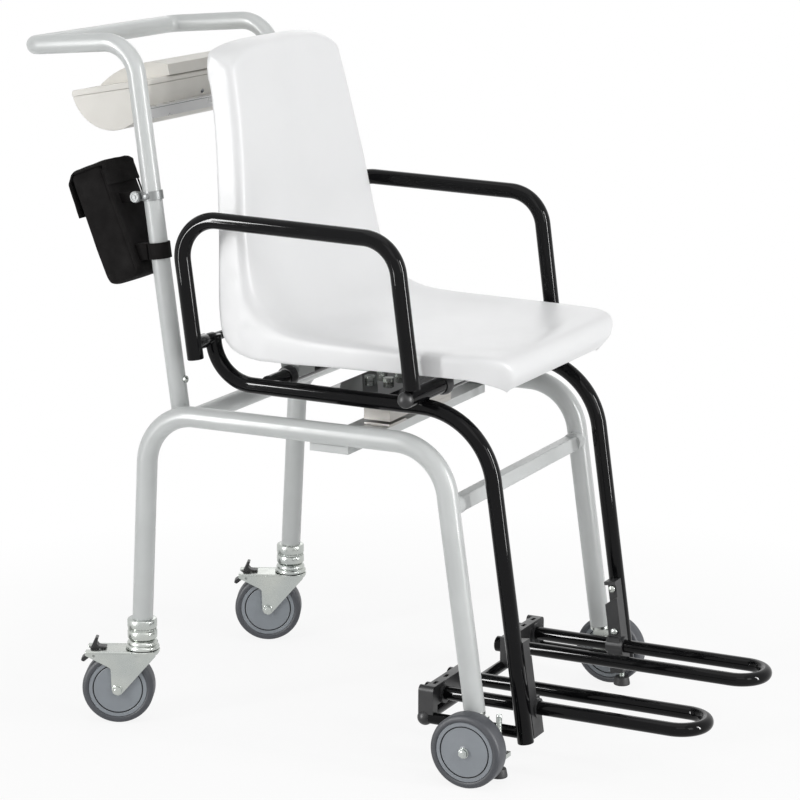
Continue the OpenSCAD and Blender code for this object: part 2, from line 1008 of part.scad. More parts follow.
module front_bracket() {
    tip_y = -stud_y - stud_d * 1.5;
    low = axle_z - bracket_t * 1.5;
    foot = front_leg_y(front_leg_end_z);
    difference() {
        union() {
            translate([-frame_x, foot, front_leg_end_z])
                rotate([-front_leg_lean, 0, 0])
                    cylinder(d = frame_tube_d - 2 * (frame_wall + running), h = plug_h);
            translate([-frame_x, foot, front_leg_end_z])
                rotate([-front_leg_lean, 0, 0])
                    translate([0, 0, -bracket_t / 2])
                        cylinder(d = frame_tube_d, h = bracket_t / 2);
            box([-frame_x - bracket_t / 2, -front_axle_y - frame_tube_d / 2, tab_z],
                [-frame_x + bracket_t / 2, -front_axle_y + frame_tube_d / 2,
                front_leg_end_z - bracket_t / 2]);
            box([-frame_x - foot_d / 2, tip_y, tab_z],
                [-frame_x + foot_d / 2, -front_axle_y + frame_tube_d / 2, tab_z + tab_h]);
        }
        along_x(-frame_x - foot_d, -frame_x + foot_d, -front_axle_y, axle_z, axle_d);
        translate([-frame_x, -stud_y, 0])
            cylinder(d = stud_d + 2 * running, h = stud_top);
    }
}

module front_brackets() {
    color(zinc)
        pair()
            front_bracket();
}

module front_axle() {
    outer = front_wheel_x + front_wheel_w / 2 + over;
    inner = frame_x - bracket_t / 2;
    union() {
        along_x(-outer - nut_h, -inner + nut_h, -front_axle_y, axle_z, axle_d);
        translate([-outer - nut_h, -front_axle_y, axle_z])
            rotate([0, 90, 0])
                hex(nut_w, nut_h);
        translate([-inner, -front_axle_y, axle_z])
            rotate([0, 90, 0])
                hex(nut_w, nut_h);
        along_x(-front_wheel_x + front_wheel_w / 2 + over, -frame_x - bracket_t / 2,
            -front_axle_y, axle_z, nut_w);
    }
}

module front_axles() {
    color(zinc)
        pair()
            front_axle();
}

module at_front_wheel(side) {
    translate([side * front_wheel_x, -front_axle_y, axle_z])
        children();
}

module front_rim_right() {
    color([0.60, 0.63, 0.66])
        at_front_wheel(-1)
            rim(front_wheel_w, axle_d + 2 * running);
}

module front_rim_left() {
    color([0.60, 0.63, 0.66])
        at_front_wheel(1)
            rim(front_wheel_w, axle_d + 2 * running);
}

module front_tyre_right() {
    color([0.33, 0.34, 0.37])
        at_front_wheel(-1)
            tyre(front_wheel_w);
}

module front_tyre_left() {
    color([0.33, 0.34, 0.37])
        at_front_wheel(1)
            tyre(front_wheel_w);
}

// Threaded stud of an adjustable stabilising foot
module stud() {
    translate([-frame_x, -stud_y, foot_low + foot_h / 2])
        cylinder(d = stud_d, h = stud_top - foot_low - foot_h / 2);
}

module foot() {
    translate([-frame_x, -stud_y, foot_low])
        difference() {
            cylinder(d1 = foot_d, d2 = foot_d - stud_d / 2, h = foot_h);
            translate([0, 0, foot_h / 2])
                cylinder(d = stud_d, h = foot_h);
        }
}

module stud_right() {
    color(zinc)
        stud();
}

module stud_left() {
    color(zinc)
        left_of()
            stud();
}

module foot_right() {
    color(rubber)
        foot();
}

module foot_left() {
    color(rubber)
        left_of()
            foot();
}

// Black seat frame, carried by the load cell

pivot_top_z = 552;
pivot_end_t = 2;
seat_front_z = seat_rail_z - seat_rail_fall;
front_tube_y = function (z) -seat_front_y - (seat_front_z - z) * tan(front_leg_lean);
seat_path = [[seat_rear_y, pivot_top_z], [seat_rear_y, seat_rail_z],
    [-seat_front_y, seat_front_z], [front_tube_y(seat_front_end_z), seat_front_end_z]];
pivot_head = 12;
pivot_head_d = 16;

module seat_tube(bore, d = seat_tube_d) {
    translate([-seat_tube_x, 0, 0])
        upright()
            bent_tube(seat_path, [seat_rear_r, seat_front_r], d, bore);
}

// Disc that closes the side tube's top
module seat_top() {
    translate([-seat_tube_x, seat_rear_y, pivot_top_z - bend_lap])
        cylinder(d = seat_tube_d + bend_swell, h = pivot_end_t + bend_lap);
}

// Side tube with its closed ends, the pivot's shoulder and the fixed pivot pin
module seat_frame() {
    end_t = 3;
    shoulder = seat_tube_x + seat_tube_d / 2 + pivot_head;
    union() {
        seat_tube(seat_tube_d - 2 * seat_wall);
        seat_top();
        translate([-seat_tube_x, front_tube_y(seat_front_end_z), seat_front_end_z])
            rotate([-front_leg_lean, 0, 0])
                translate([0, 0, -end_t])
                    cylinder(d = seat_tube_d + bend_swell, h = end_t + bend_lap);
        difference() {
            along_x(-shoulder, -seat_tube_x, seat_rear_y, pivot_z, pivot_head_d);
            // Its root lies inside the tube's wall
            seat_tube(0, seat_tube_d - seat_wall);
        }
        along_x(-arm_x + seat_tube_d / 2 + over, -shoulder + over, seat_rear_y, pivot_z,
            pivot_pin_d);
    }
}

module seat_frame_right() {
    color(black)
        seat_frame();
}

module seat_frame_left() {
    color(black)
        left_of()
            seat_frame();
}

pivot_tube_d = 12;
front_cross_end = arm_x + 4;

// Front and rear tubes under the seat and the tube between the armrest pivots
module seat_cross_tubes() {
    bore = seat_tube_d - 2 * seat_wall;
    color(black)
        difference() {
            union() {
                along_x(-front_cross_end, front_cross_end, -seat_cross_front_y, seat_cross_z,
                    seat_tube_d);
                along_x(-seat_tube_x, seat_tube_x, seat_cross_rear_y, seat_cross_rear_z,
                    seat_tube_d);
                along_x(-seat_tube_x, seat_tube_x, seat_rear_y, pivot_z, pivot_tube_d);
            }
            along_x(-front_cross_end - over, front_cross_end + over, -seat_cross_front_y,
                seat_cross_z, bore);
            along_x(-seat_tube_x - over, seat_tube_x + over, seat_cross_rear_y,
                seat_cross_rear_z, bore);
            pair() {
                seat_tube(0);
                seat_top();
            }
        }
}

sleeve_t = 1.5;
sleeve_inner_x = 118;
low_tube_d = 16;
low_tube_y = seat_cross_front_y + 3;
low_tube_z = 59.5;
// Ball caps over the lower frame's corners
cap_d = 22;

module low_corner(gap = 0) {
    translate([-seat_tube_x, -low_tube_y, low_tube_z])
        sphere(d = cap_d + 2 * gap);
}

// Rubber sleeves with domed outer ends, and the ball caps of the lower frame's corners
module tube_caps() {
    d = seat_tube_d + 2 * sleeve_t;
    flare = 30;
    flare_l = 14;
    color(rubber)
        pair()
            union() {
                difference() {
                    translate([-front_cross_end, -seat_cross_front_y, seat_cross_z])
                        sphere(d = seat_tube_d);
                    box([-front_cross_end, -seat_cross_front_y - d, seat_cross_z - d],
                        [0, -seat_cross_front_y + d, seat_cross_z + d]);
                }
                difference() {
                    union() {
                        along_x(-sleeve_inner_x - flare_l, -sleeve_inner_x,
                            -seat_cross_front_y, seat_cross_z, flare);
                        along_x(-sleeve_inner_x - flare_l, -sleeve_inner_x,
                            seat_cross_rear_y, seat_cross_rear_z, flare);
                    }
                    along_x(-seat_tube_x, 0, -seat_cross_front_y, seat_cross_z, seat_tube_d);
                    along_x(-seat_tube_x, 0, seat_cross_rear_y, seat_cross_rear_z,
                        seat_tube_d);
                }
                low_corner();
            }
}

// Channel between the side tubes; the free end of the load cell carries it
upper_t = 3.5;
upper_w = 90;
upper_ahead = 2;
upper_y = cell_y - upper_ahead;
upper_h = 12;

module upper_channel() {
    top = cell_top + top_spacer;
    color(black)
        difference() {
            translate([-seat_tube_x, upper_y, top + upper_t])
                upright()
                    linear_extrude(2 * seat_tube_x)
                        channel_2d(upper_w, upper_h, upper_t);
            pair()
                seat_tube(0);
        }
}

// Seat shell: cross sections from the front lip over the seat and up the back.
// Each row has the rim's place, the lower or rear edge's place, the half width, the hollow
// and the corners' fall, as shares of the shell's length, height, half width and dish.
station_shares = [
    [0.022, 0.016, 0.039, 0.000, 0.730, 0.00, 0.000],
    [0.002, 0.052, 0.039, 0.014, 0.800, 0.00, 0.000],
    [0.002, 0.088, 0.050, 0.026, 0.860, 0.05, 0.000],
    [0.022, 0.113, 0.069, 0.036, 0.905, 0.15, 0.000],
    [0.066, 0.123, 0.100, 0.047, 0.950, 0.40, 0.000],
    [0.135, 0.124, 0.145, 0.052, 0.980, 0.70, 0.000],
    [0.265, 0.126, 0.265, 0.053, 0.995, 0.90, 0.000],
    [0.417, 0.129, 0.417, 0.052, 1.000, 1.00, 0.000],
    [0.569, 0.133, 0.569, 0.048, 1.000, 1.00, 0.000],
    [0.678, 0.146, 0.700, 0.045, 1.000, 1.00, 0.000],
    [0.748, 0.183, 0.808, 0.049, 0.995, 1.00, 0.000],
    [0.791, 0.239, 0.883, 0.088, 0.990, 1.00, 0.000],
    [0.815, 0.312, 0.911, 0.185, 0.976, 1.00, 0.000],
    [0.837, 0.450, 0.922, 0.411, 0.927, 1.00, 0.000],
    [0.854, 0.589, 0.939, 0.570, 0.871, 1.00, 0.000],
    [0.875, 0.727, 0.959, 0.718, 0.815, 0.85, 0.000],
    [0.895, 0.843, 0.978, 0.834, 0.780, 0.60, 0.005],
    [0.908, 0.919, 0.990, 0.894, 0.763, 0.30, 0.018],
    [0.915, 0.963, 0.995, 0.928, 0.759, 0.10, 0.039],
    [0.925, 0.987, 0.997, 0.949, 0.756, 0.00, 0.051],
    [0.948, 0.998, 0.999, 0.963, 0.754, 0.00, 0.046],
    [0.978, 1.000, 1.000, 0.973, 0.749, 0.00, 0.035],
    [0.998, 0.997, 1.000, 0.979, 0.737, 0.00, 0.025]];
// Places across one section: share of the half width, and of the way from rim to edge
across_shares = [[1, 1], [1, 0.55], [0.995, 0.25], [0.975, 0.08], [0.93, 0.01], [0.85, 0],
    [0.68, 0], [0.45, 0], [0.22, 0], [0, 0]];
// Share of the dish at each of those places
dish_shares = [0, 0, 0, 0, 0, 0.1, 0.45, 0.78, 0.95, 1];
steps = 3;

function blend4(a, b, c, d, t) = b + 0.5 * t * (c - a + t * (2 * a - 5 * b + 4 * c - d
    + t * (3 * (b - c) + d - a)));
function station(k) = let (n = len(station_shares) - 1, i = min(floor(k / steps), n - 1),
    t = k / steps - i, s = station_shares)
    blend4(s[max(i - 1, 0)], s[i], s[i + 1], s[min(i + 2, n)], t);
function shell_y(share) = share * shell_len - shell_front_y;
function shell_z(share) = share * shell_h + shell_low_z;

// A point of section s at place j, on the outer skin or, with t, on the inner one
function shell_point(s, j, side, t) = let (
    rim = [shell_y(s[0]), shell_z(s[1])], edge = [shell_y(s[2]), shell_z(s[3])],
    down = (edge - rim) / norm(edge - rim), a = across_shares[j],
    p = rim + (edge - rim) * a.y + down * (dish_shares[j] * s[5] * shell_dish
        + t * (1 - a.y)))
    [side * (a.x * shell_w / 2 * s[4] - t * min(1, 2 * a.y)), p.x,
        p.y - s[6] * shell_h * pow(a.x, 4)];
function section(s) = let (n = len(across_shares) - 1) [
    for (j = [0 : n]) shell_point(s, j, -1, 0),
    for (j = [n - 1 : -1 : 0]) shell_point(s, j, 1, 0),
    for (j = [0 : n]) shell_point(s, j, 1, shell_t),
    for (j = [n - 1 : -1 : 0]) shell_point(s, j, -1, shell_t)];

module seat_shell() {
    rings = (len(station_shares) - 1) * steps + 1;
    points = [for (k = [0 : rings - 1]) each section(station(k))];
    m = len(points) / rings;
    half = m / 2;
    sides = [for (k = [0 : rings - 2], j = [0 : m - 1])
        let (a = k * m + j, b = k * m + (j + 1) % m, c = a + m, d = b + m)
        each [[a, b, d], [a, d, c]]];
    // Each end is closed by a strip between the outer and the inner skin
    caps = [for (e = [0, 1], j = [0 : half - 2])
        let (f = e * (rings - 1) * m, a = f + j, b = f + j + 1, c = f + m - 1 - j,
            d = f + m - 2 - j)
        each e == 0 ? [[a, d, b], [a, c, d]] : [[a, b, d], [a, d, c]]];
    color([0.94, 0.94, 0.94])
        polyhedron(points = points, faces = concat(sides, caps));
}

// Four moulded feet between the shell's underside and the cross tubes
foot_x = 92;
shell_foot_w = 46;
// Half the length of a foot below, beside its tube, and its reach at the shell
foot_low_half = 12.5;
foot_front_reach = 17;
foot_rear_reach = 27;
foot_grip = 2;
// No foot reaches further up than this, where the shell turns up into the back
shell_foot_h = 70;

// Place on the shell's underside, in the YZ plane, of section k at a distance x
function underside(k, x) = let (s = station(k),
    p = [for (j = [len(across_shares) - 1 : -1 : 3]) shell_point(s, j, 1, shell_t)])
    [lookup(x, [for (q = p) [q.x, q.y]]), lookup(x, [for (q = p) [q.x, q.z]])];
// The same over the seat's length, kept clear below by the small gap
seat_line = [for (k = [5 * steps : 12 * steps]) underside(k, foot_x - shell_foot_w / 2)];
function foot_top(y) = min(lookup(y, seat_line) - clearance, seat_cross_z + shell_foot_h);

// A foot over the cross tube at this place and height, reaching further to the rear by spread
module shell_foot(y, z, spread) {
    front = y - foot_front_reach;
    rear = y + foot_front_reach + spread;
    translate([-foot_x - shell_foot_w / 2, 0, 0])
        upright()
            linear_extrude(shell_foot_w)
                polygon([[y - foot_low_half, z - foot_grip], [y + foot_low_half, z - foot_grip],
                    [rear, foot_top(rear)], [y, foot_top(y)], [front, foot_top(front)]]);
}

module seat_feet() {
    color(grey)
        difference() {
            pair() {
                shell_foot(-seat_cross_front_y, seat_cross_z, 0);
                shell_foot(seat_cross_rear_y, seat_cross_rear_z,
                    foot_rear_reach - foot_front_reach);
            }
            along_x(-seat_tube_x, seat_tube_x, -seat_cross_front_y, seat_cross_z, seat_tube_d);
            along_x(-seat_tube_x, seat_tube_x, seat_cross_rear_y, seat_cross_rear_z,
                seat_tube_d);
        }
}

// Lower frame that carries the footrests' rear slide blocks, in line with the front tubes

module low_rail() {
    along_y(-seat_tube_x, front_tube_y(low_tube_z), -low_tube_y, low_tube_z, low_tube_d);
}

module footrest_frame() {
    color(black)
        difference() {
            union() {
                along_x(-seat_tube_x, seat_tube_x, -low_tube_y, low_tube_z, low_tube_d);
                pair()
                    low_rail();
            }
            pair() {
                seat_tube(0);
                low_corner(running);
            }
        }
}

block_in = 62;
block_out = 183;
block_rear = low_tube_y;
block_front = block_rear + 14;
block_low = 76;
block_top = 104;
block_foot = 14;
block_slot = 11;
block_ring_d = 28;
block_ring = 4;
// The cheek over the corner ball is this much deeper than the beam, towards the rear
cheek_more = 8;
cheek_low = 65.5;

// A beam across both rods, with a ring round each, a cheek on the corner and an inner foot
module slide_blocks() {
    round_r = block_foot / 2;
    color(rubber)
        pair()
            difference() {
                union() {
                    box([-block_out + round_r, -block_front, block_low], [-block_in,
                        -block_rear, block_top]);
                    box([-block_out, -block_front, cheek_low], [-block_out + block_foot,
                        -block_rear + cheek_more, block_top - round_r]);
                    along_y(-block_out + round_r, -block_front, -block_rear + cheek_more,
                        block_top - round_r, block_foot);
                    box([-block_in - block_foot, -block_front, low_tube_z], [-block_in,
                        -block_rear, block_top]);
                    for (x = [rod_outer_x, rod_inner_x])
                        along_y(-x, -block_front - block_ring, -block_rear, rod_z,
                            block_ring_d);
                }
                for (x = [rod_outer_x, rod_inner_x])
                    along_y(-x, -block_front - block_ring - over, -block_rear + over, rod_z,
                        rod_d + 2 * running);
                along_x(-block_out - over, 0, -low_tube_y, low_tube_z, low_tube_d);
                for (x = [rod_outer_x + block_slot, rod_outer_x - 2 * block_slot])
                    box([-x - block_slot / 2, -block_front + block_foot / 3,
                        block_top - block_slot / 2], [-x + block_slot / 2,
                        -block_rear - block_foot / 3, block_top + over]);
                low_rail();
                low_corner(running);
            }
}

// Guides on the front tubes: inner sides of body, shoulder and neck, and their heights
guide_in = 138;
guide_shoulder_in = 147;
guide_neck_in = 150;
guide_half = 9.5;
guide_low = 50;
guide_step = 101;
guide_body_top = 158;
guide_neck_top = 176;
guide_top = 181;
guide_neck = 3;
guide_flange = 7;
guide_ring_d = 26;
guide_ring = 3;
// The shoulder's top falls towards the rear by this much
guide_slope = 10;
// Heights of the two screws on each guide's inner side
guide_screw_low = 108;
guide_screw_high = 169;

// Along the front tube: z is the height, y is measured from the tube's centre line
module on_front_tube(z) {
    translate([0, front_tube_y(z), z])
        rotate([-front_leg_lean, 0, 0])
            children();
}

module guide() {
    // The guide leans with the front tube, which it is screwed to, and ends beside the rail
    flat = seat_tube_x - low_tube_d / 2;
    ring_y = guide_half + guide_ring;
    difference() {
        union() {
            on_front_tube(guide_low) {
                box([-flat, -guide_half, 0], [-guide_in, guide_half, guide_step - guide_low]);
                translate([-flat, 0, 0])
                    upright()
                        linear_extrude(flat - guide_shoulder_in)
                            polygon([[-guide_half, 0], [guide_half, 0],
                                [guide_half, guide_body_top - guide_slope - guide_low],
                                [-guide_half, guide_body_top - guide_low]]);
                box([-flat, -guide_half, 0], [-guide_neck_in, guide_neck,
                    guide_neck_top - guide_low]);
                box([-flat, -guide_half, guide_neck_top - guide_low], [-guide_neck_in
                    + guide_neck, guide_flange, guide_top - guide_low]);
            }
            along_y(-rod_outer_x, front_tube_y(rod_z) - ring_y, front_tube_y(rod_z) + ring_y,
                rod_z, guide_ring_d);
        }
        seat_tube(0);
        along_y(-rod_outer_x, -footrest_tip_y, 0, rod_z, rod_d + 2 * running);
    }
}

module footrest_guides() {
    color(rubber)
        pair()
            guide();
}

// Armrests

arm_wall = 1.8;
arm_low_z = 530;
// The leaning leg's lower rim stays clear above the front cross tube
arm_front_low = seat_cross_z + seat_tube_d / 2 * (1 + sin(handle_lean)) + clearance;
arm_path = [[arm_rear_y - (arm_rear_z - arm_low_z) * tan(handle_lean), arm_low_z],
    [arm_rear_y, arm_rear_z], [-arm_front_y, arm_front_z],
    [-arm_front_y - (arm_front_z - arm_front_low) * tan(handle_lean), arm_front_low]];

module arm_tube(bore, d = seat_tube_d) {
    translate([-arm_x, 0, 0])
        upright()
            bent_tube(arm_path, [arm_bend_r, arm_bend_r], d, bore);
}

module armrest() {
    boss_d = 20;
    end_t = 2;
    boss_in = seat_tube_x + seat_tube_d / 2 + pivot_head + clearance;
    rear = arm_path[0];
    difference() {
        union() {
            arm_tube(seat_tube_d - 2 * arm_wall);
            translate([-arm_x, rear.x, rear.y])
                rotate([-handle_lean, 0, 0])
                    translate([0, 0, -end_t])
                        cylinder(d = seat_tube_d + bend_swell, h = end_t + bend_lap);
            difference() {
                along_x(-arm_x, -boss_in, seat_rear_y, pivot_z, boss_d);
                arm_tube(0, seat_tube_d - arm_wall);
            }
        }
        along_x(-arm_x + seat_tube_d / 2, -boss_in + over, seat_rear_y, pivot_z,
            pivot_pin_d + 2 * running);
    }
}

module armrest_right() {
    color(black)
        armrest();
}

module armrest_left() {
    color(black)
        left_of()
            armrest();
}

// Footrests: U-shaped rods that slide through the blocks and guides

rod_wall = 2;
collar_d = 22;
collar_l = 12;

module footrest() {
    r = (rod_outer_x - rod_inner_x) / 2 - over / 10;
    tip = -footrest_tip_y;
    rear = -rod_rear_y;
    collar_front = -block_rear + clearance;
    union() {
        translate([0, 0, rod_z])
            bent_tube([[-rod_outer_x, rear], [-rod_outer_x, tip], [-rod_inner_x, tip],
                [-rod_inner_x, rear]], [r, r], rod_d, rod_d - 2 * rod_wall);
        for (x = [rod_outer_x, rod_inner_x])
            difference() {
                along_y(-x, collar_front, rear + clearance, rod_z, collar_d);
                along_y(-x, collar_front - over, rear, rod_z, rod_d);
            }
    }
}

module footrest_right() {
    color(black)
        footrest();
}

module footrest_left() {
    color(black)
        left_of()
            footrest();
}

// Screws, bolts and the clamp's knob

screw_d = 10;
screw_h = 5;

module screw() {
    intersection() {
        cylinder(d = screw_d, h = screw_h);
        translate([0, 0, -screw_d / 4])
            sphere(d = screw_d * 1.5);
    }
}

bolt_pitch_x = 36;
bolt_pitch_y = 28;
bolt_flats = 13;
bolt_h = 7;

module fasteners() {
    top = cell_top + top_spacer + upper_t;
    handle_screw_z = 487;
    color(zinc)
        union() {
            // Four bolts through the upper channel into the load cell
            for (x = [-1, 1], y = [-1, 1])
                translate([-cell_len / 2 + cell_foot / 2 + x * bolt_pitch_x / 2,
                    cell_y + y * bolt_pitch_y / 2, top])
                    hex(bolt_flats, bolt_h);
            // Screws in the fronts of the uprights
            pair()
                translate([-handle_x, upright_y(handle_screw_z), handle_screw_z])
                    rotate([90 - handle_lean, 0, 0])
                        translate([0, 0, handle_tube_d / 2])
                            screw();
            // Screws on the guides' inner sides
            pair() {
                on_front_tube(guide_screw_low)
                    translate([-guide_shoulder_in, 0, 0])
                        rotate([0, 90, 0])
                            screw();
                on_front_tube(guide_screw_high)
                    translate([-guide_neck_in, -guide_neck, 0])
                        rotate([0, 90, 0])
                            screw();
            }
            // The clamp's thumb nut
            at_clamp()
                translate([-clamp_ear_t, handle_tube_d / 2 + knob_back, 0])
                    rotate([0, -90, 0])
                        cylinder(d = knob_d, h = knob_t);
        }
}

side_frame_right();
side_frame_left();
rear_cross_tube();
front_cross_bar();
lower_channel();
push_handle();
fasteners();
overload_stop();
load_cell();
display_bar();
display_tray();
display_cover();
display_hood();
display_window();
key_left();
key_middle();
key_right();
circuit_board();
battery_pack();
pouch_clamp();
pouch();
pouch_flap();
pouch_strap();
caster_sockets();
caster_heads();
fork_right();
fork_left();
caster_axle_right();
caster_axle_left();
rear_rim_right();
rear_rim_left();
rear_tyre_right();
rear_tyre_left();
brake_pedal_right();
brake_pedal_left();
front_brackets();
front_axles();
front_rim_right();
front_rim_left();
front_tyre_right();
front_tyre_left();
stud_right();
stud_left();
foot_right();
foot_left();
seat_frame_right();
seat_frame_left();
seat_cross_tubes();
tube_caps();
upper_channel();
seat_feet();
seat_shell();
footrest_frame();
slide_blocks();
footrest_guides();
armrest_right();
armrest_left();
footrest_right();
footrest_left();
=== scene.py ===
"""Looks of the wheeled chair scale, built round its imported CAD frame."""

import math

import bmesh
import bpy
from mathutils import Matrix, Quaternion, Vector, noise


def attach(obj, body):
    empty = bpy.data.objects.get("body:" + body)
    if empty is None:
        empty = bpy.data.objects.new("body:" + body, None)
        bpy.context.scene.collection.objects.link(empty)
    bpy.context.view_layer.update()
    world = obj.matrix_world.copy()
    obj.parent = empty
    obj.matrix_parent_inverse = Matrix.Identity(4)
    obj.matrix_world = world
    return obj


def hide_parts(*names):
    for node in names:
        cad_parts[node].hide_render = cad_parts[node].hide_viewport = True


MM = 0.001


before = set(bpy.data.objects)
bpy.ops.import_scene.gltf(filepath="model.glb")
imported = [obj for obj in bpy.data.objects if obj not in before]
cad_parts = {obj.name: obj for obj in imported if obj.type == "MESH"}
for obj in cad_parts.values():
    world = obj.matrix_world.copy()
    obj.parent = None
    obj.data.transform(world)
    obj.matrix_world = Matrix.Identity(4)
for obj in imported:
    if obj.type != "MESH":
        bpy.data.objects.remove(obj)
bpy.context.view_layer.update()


# Materials

SECOND_TONE, RAMP_STOPS = 0.93, (0.35, 0.65)


def noise_node(tree, place, scale, detail=3.0, stretch=None):
    """A noise pattern in the object's own coordinates; stretch squeezes it along some axes."""
    node = tree.nodes.new("ShaderNodeTexNoise")
    node.inputs["Scale"].default_value = scale
    node.inputs["Detail"].default_value = detail
    source = place.outputs["Object"]
    if stretch:
        mapping = tree.nodes.new("ShaderNodeMapping")
        mapping.inputs["Scale"].default_value = stretch
        tree.links.new(source, mapping.inputs["Vector"])
        source = mapping.outputs["Vector"]
    tree.links.new(source, node.inputs["Vector"])
    return node.outputs["Fac"]


def ranged(tree, value, low, high, start=0.3, end=0.7):
    """The value, which runs from start to end, spread over low to high."""
    node = tree.nodes.new("ShaderNodeMapRange")
    for name, number in (("From Min", start), ("From Max", end), ("To Min", low),
                         ("To Max", high)):
        node.inputs[name].default_value = number
    tree.links.new(value, node.inputs["Value"])
    return node.outputs["Result"]


def finish(name, colour, rough, *, other=None, stain=14.0, stretch=None, rough_by=0.05,
           rough_scale=60.0, grain=1500.0, relief=0.15, depth=0.00008, metal=0.0, coat=0.0,
           coat_rough=0.05, specular=0.5, sheen=0.0, weave=None):
    """A Principled material whose colour, roughness and relief each vary by their own pattern."""
    mat = bpy.data.materials.new(name)
    mat.use_nodes = True
    tree = mat.node_tree
    shader = tree.nodes["Principled BSDF"]
    place = tree.nodes.new("ShaderNodeTexCoord")
    ramp = tree.nodes.new("ShaderNodeValToRGB")
    other = other or [c * SECOND_TONE for c in colour]
    for stop, at, tone in zip(ramp.color_ramp.elements, RAMP_STOPS, (other, colour)):
        stop.position, stop.color = at, (*tone, 1)
    tree.links.new(noise_node(tree, place, stain, 4, stretch), ramp.inputs["Fac"])
    tree.links.new(ramp.outputs["Color"], shader.inputs["Base Color"])
    worn = noise_node(tree, place, rough_scale, 3, stretch)
    tree.links.new(ranged(tree, worn, rough - rough_by, rough + rough_by),
                   shader.inputs["Roughness"])
    bump = tree.nodes.new("ShaderNodeBump")
    bump.inputs["Strength"].default_value = relief
    bump.inputs["Distance"].default_value = depth
    height = noise_node(tree, place, grain, 2, stretch)
    if weave:
        height = woven(tree, place, weave)
    tree.links.new(height, bump.inputs["Height"])
    tree.links.new(bump.outputs["Normal"], shader.inputs["Normal"])
    shader.inputs["Metallic"].default_value = metal
    shader.inputs["Specular IOR Level"].default_value = specular
    shader.inputs["Coat Weight"].default_value = coat
    shader.inputs["Coat Roughness"].default_value = coat_rough
    shader.inputs["Sheen Weight"].default_value = sheen
    return mat


def woven(tree, place, pitch):
    """Threads that cross: two bands of waves, of which the higher shows."""
    bands = []
    for axis in ("X", "Z"):
        wave = tree.nodes.new("ShaderNodeTexWave")
        wave.bands_direction = axis
        wave.inputs["Scale"].default_value = pitch
        wave.inputs["Distortion"].default_value = 0.6
        wave.inputs["Detail Scale"].default_value = 2
        tree.links.new(place.outputs["Object"], wave.inputs["Vector"])
        bands.append(wave.outputs["Fac"])
    both = tree.nodes.new("ShaderNodeMath")
    both.operation = "MAXIMUM"
    for i, band in enumerate(bands):
        tree.links.new(band, both.inputs[i])
    return both.outputs["Value"]


MATS = {
    "frame_grey": finish("grey powder coat", (0.61, 0.63, 0.625), 0.36, grain=900, relief=0.12,
                         coat=0.16, coat_rough=0.14),
    "seat_frame_black": finish("black powder coat", (0.003, 0.003, 0.0035), 0.05,
                               other=(0.005, 0.005, 0.0055), rough_by=0.02, grain=500,
                               relief=0.02, depth=0.00003, specular=0.14),
    "zinc": finish("zinc plating", (0.50, 0.52, 0.49), 0.27, other=(0.44, 0.465, 0.45), stain=22,
                   rough_by=0.06, rough_scale=70, metal=1.0, grain=2500, relief=0.08),
    "bar_silver": finish("silver paint", (0.74, 0.74, 0.74), 0.30, metal=0.5, grain=3000,
                         relief=0.05),
    # Near-white metal that paints the highlight on the display bar's top edge
    "painted_highlight_trim": finish("painted highlight trim", (0.92, 0.92, 0.93), 0.16, metal=0.9, rough_by=0.04,
                          grain=3000, relief=0.03),
    "dark_chrome": finish("dark chrome", (0.20, 0.21, 0.22), 0.10, metal=1.0, rough_by=0.03,
                          grain=2500, relief=0.03),
    "cell_aluminium": finish("milled aluminium", (0.45, 0.435, 0.41), 0.38, metal=0.85,
                             stretch=(0.05, 1, 1), grain=1800, relief=0.3),
    "head_plastic": finish("cream plastic", (0.80, 0.78, 0.73), 0.42, stain=8, grain=2200,
                           specular=0.2, relief=0.25, depth=0.00012),
    "window": finish("display window", (0.16, 0.19, 0.17), 0.12, other=(0.13, 0.16, 0.145),
                     rough_by=0.03, coat=0.5),
    "key_rubber": finish("key rubber", (0.10, 0.11, 0.135), 0.6, grain=3000, relief=0.3),
    "board": finish("solder mask", (0.01, 0.10, 0.03), 0.35, other=(0.02, 0.14, 0.05), stain=150),
    "battery": finish("shrink sleeve", (0.05, 0.06, 0.26), 0.25, coat=0.4),
    "clamp_grey": finish("grey clamp", (0.26, 0.27, 0.27), 0.40, metal=0.3, grain=2500),
    "pouch_cloth": finish("woven nylon", (0.0075, 0.0068, 0.0068), 0.80,
                          other=(0.0130, 0.0120, 0.0120), stain=35, rough_by=0.08, relief=0.7,
                          depth=0.0003, specular=0.06, sheen=0.03, weave=260),
    "rim_grey": finish("rim plastic", (0.27, 0.295, 0.32), 0.42, other=(0.25, 0.27, 0.295),
                       stain=25, grain=2500, relief=0.2),
    "tyre_grey": finish("grey tread rubber", (0.066, 0.070, 0.080), 0.50,
                        other=(0.055, 0.059, 0.068), stain=40, grain=2200, relief=0.35,
                        depth=0.00012),
    "black_plastic": finish("black plastic", (0.010, 0.010, 0.011), 0.42,
                            other=(0.015, 0.015, 0.016), grain=2400, relief=0.3, depth=0.0001),
    "foot_rubber": finish("foot rubber", (0.018, 0.018, 0.019), 0.6, grain=1800, relief=0.4),
    "seat_white": finish("seat plastic", (0.83, 0.835, 0.84), 0.40, other=(0.80, 0.805, 0.81),
                         stain=5, rough_by=0.04, grain=1300, relief=0.30, depth=0.00012),
    "seat_foot_grey": finish("foot plastic", (0.55, 0.57, 0.56), 0.40, grain=2000, relief=0.2),
}
# A near-black material that paints the shade inside the rims' troughs
PAINTED_TROUGH_SHADE = finish("groove shadow", (0.006, 0.007, 0.008), 0.6)


# Shapes, in millimetres


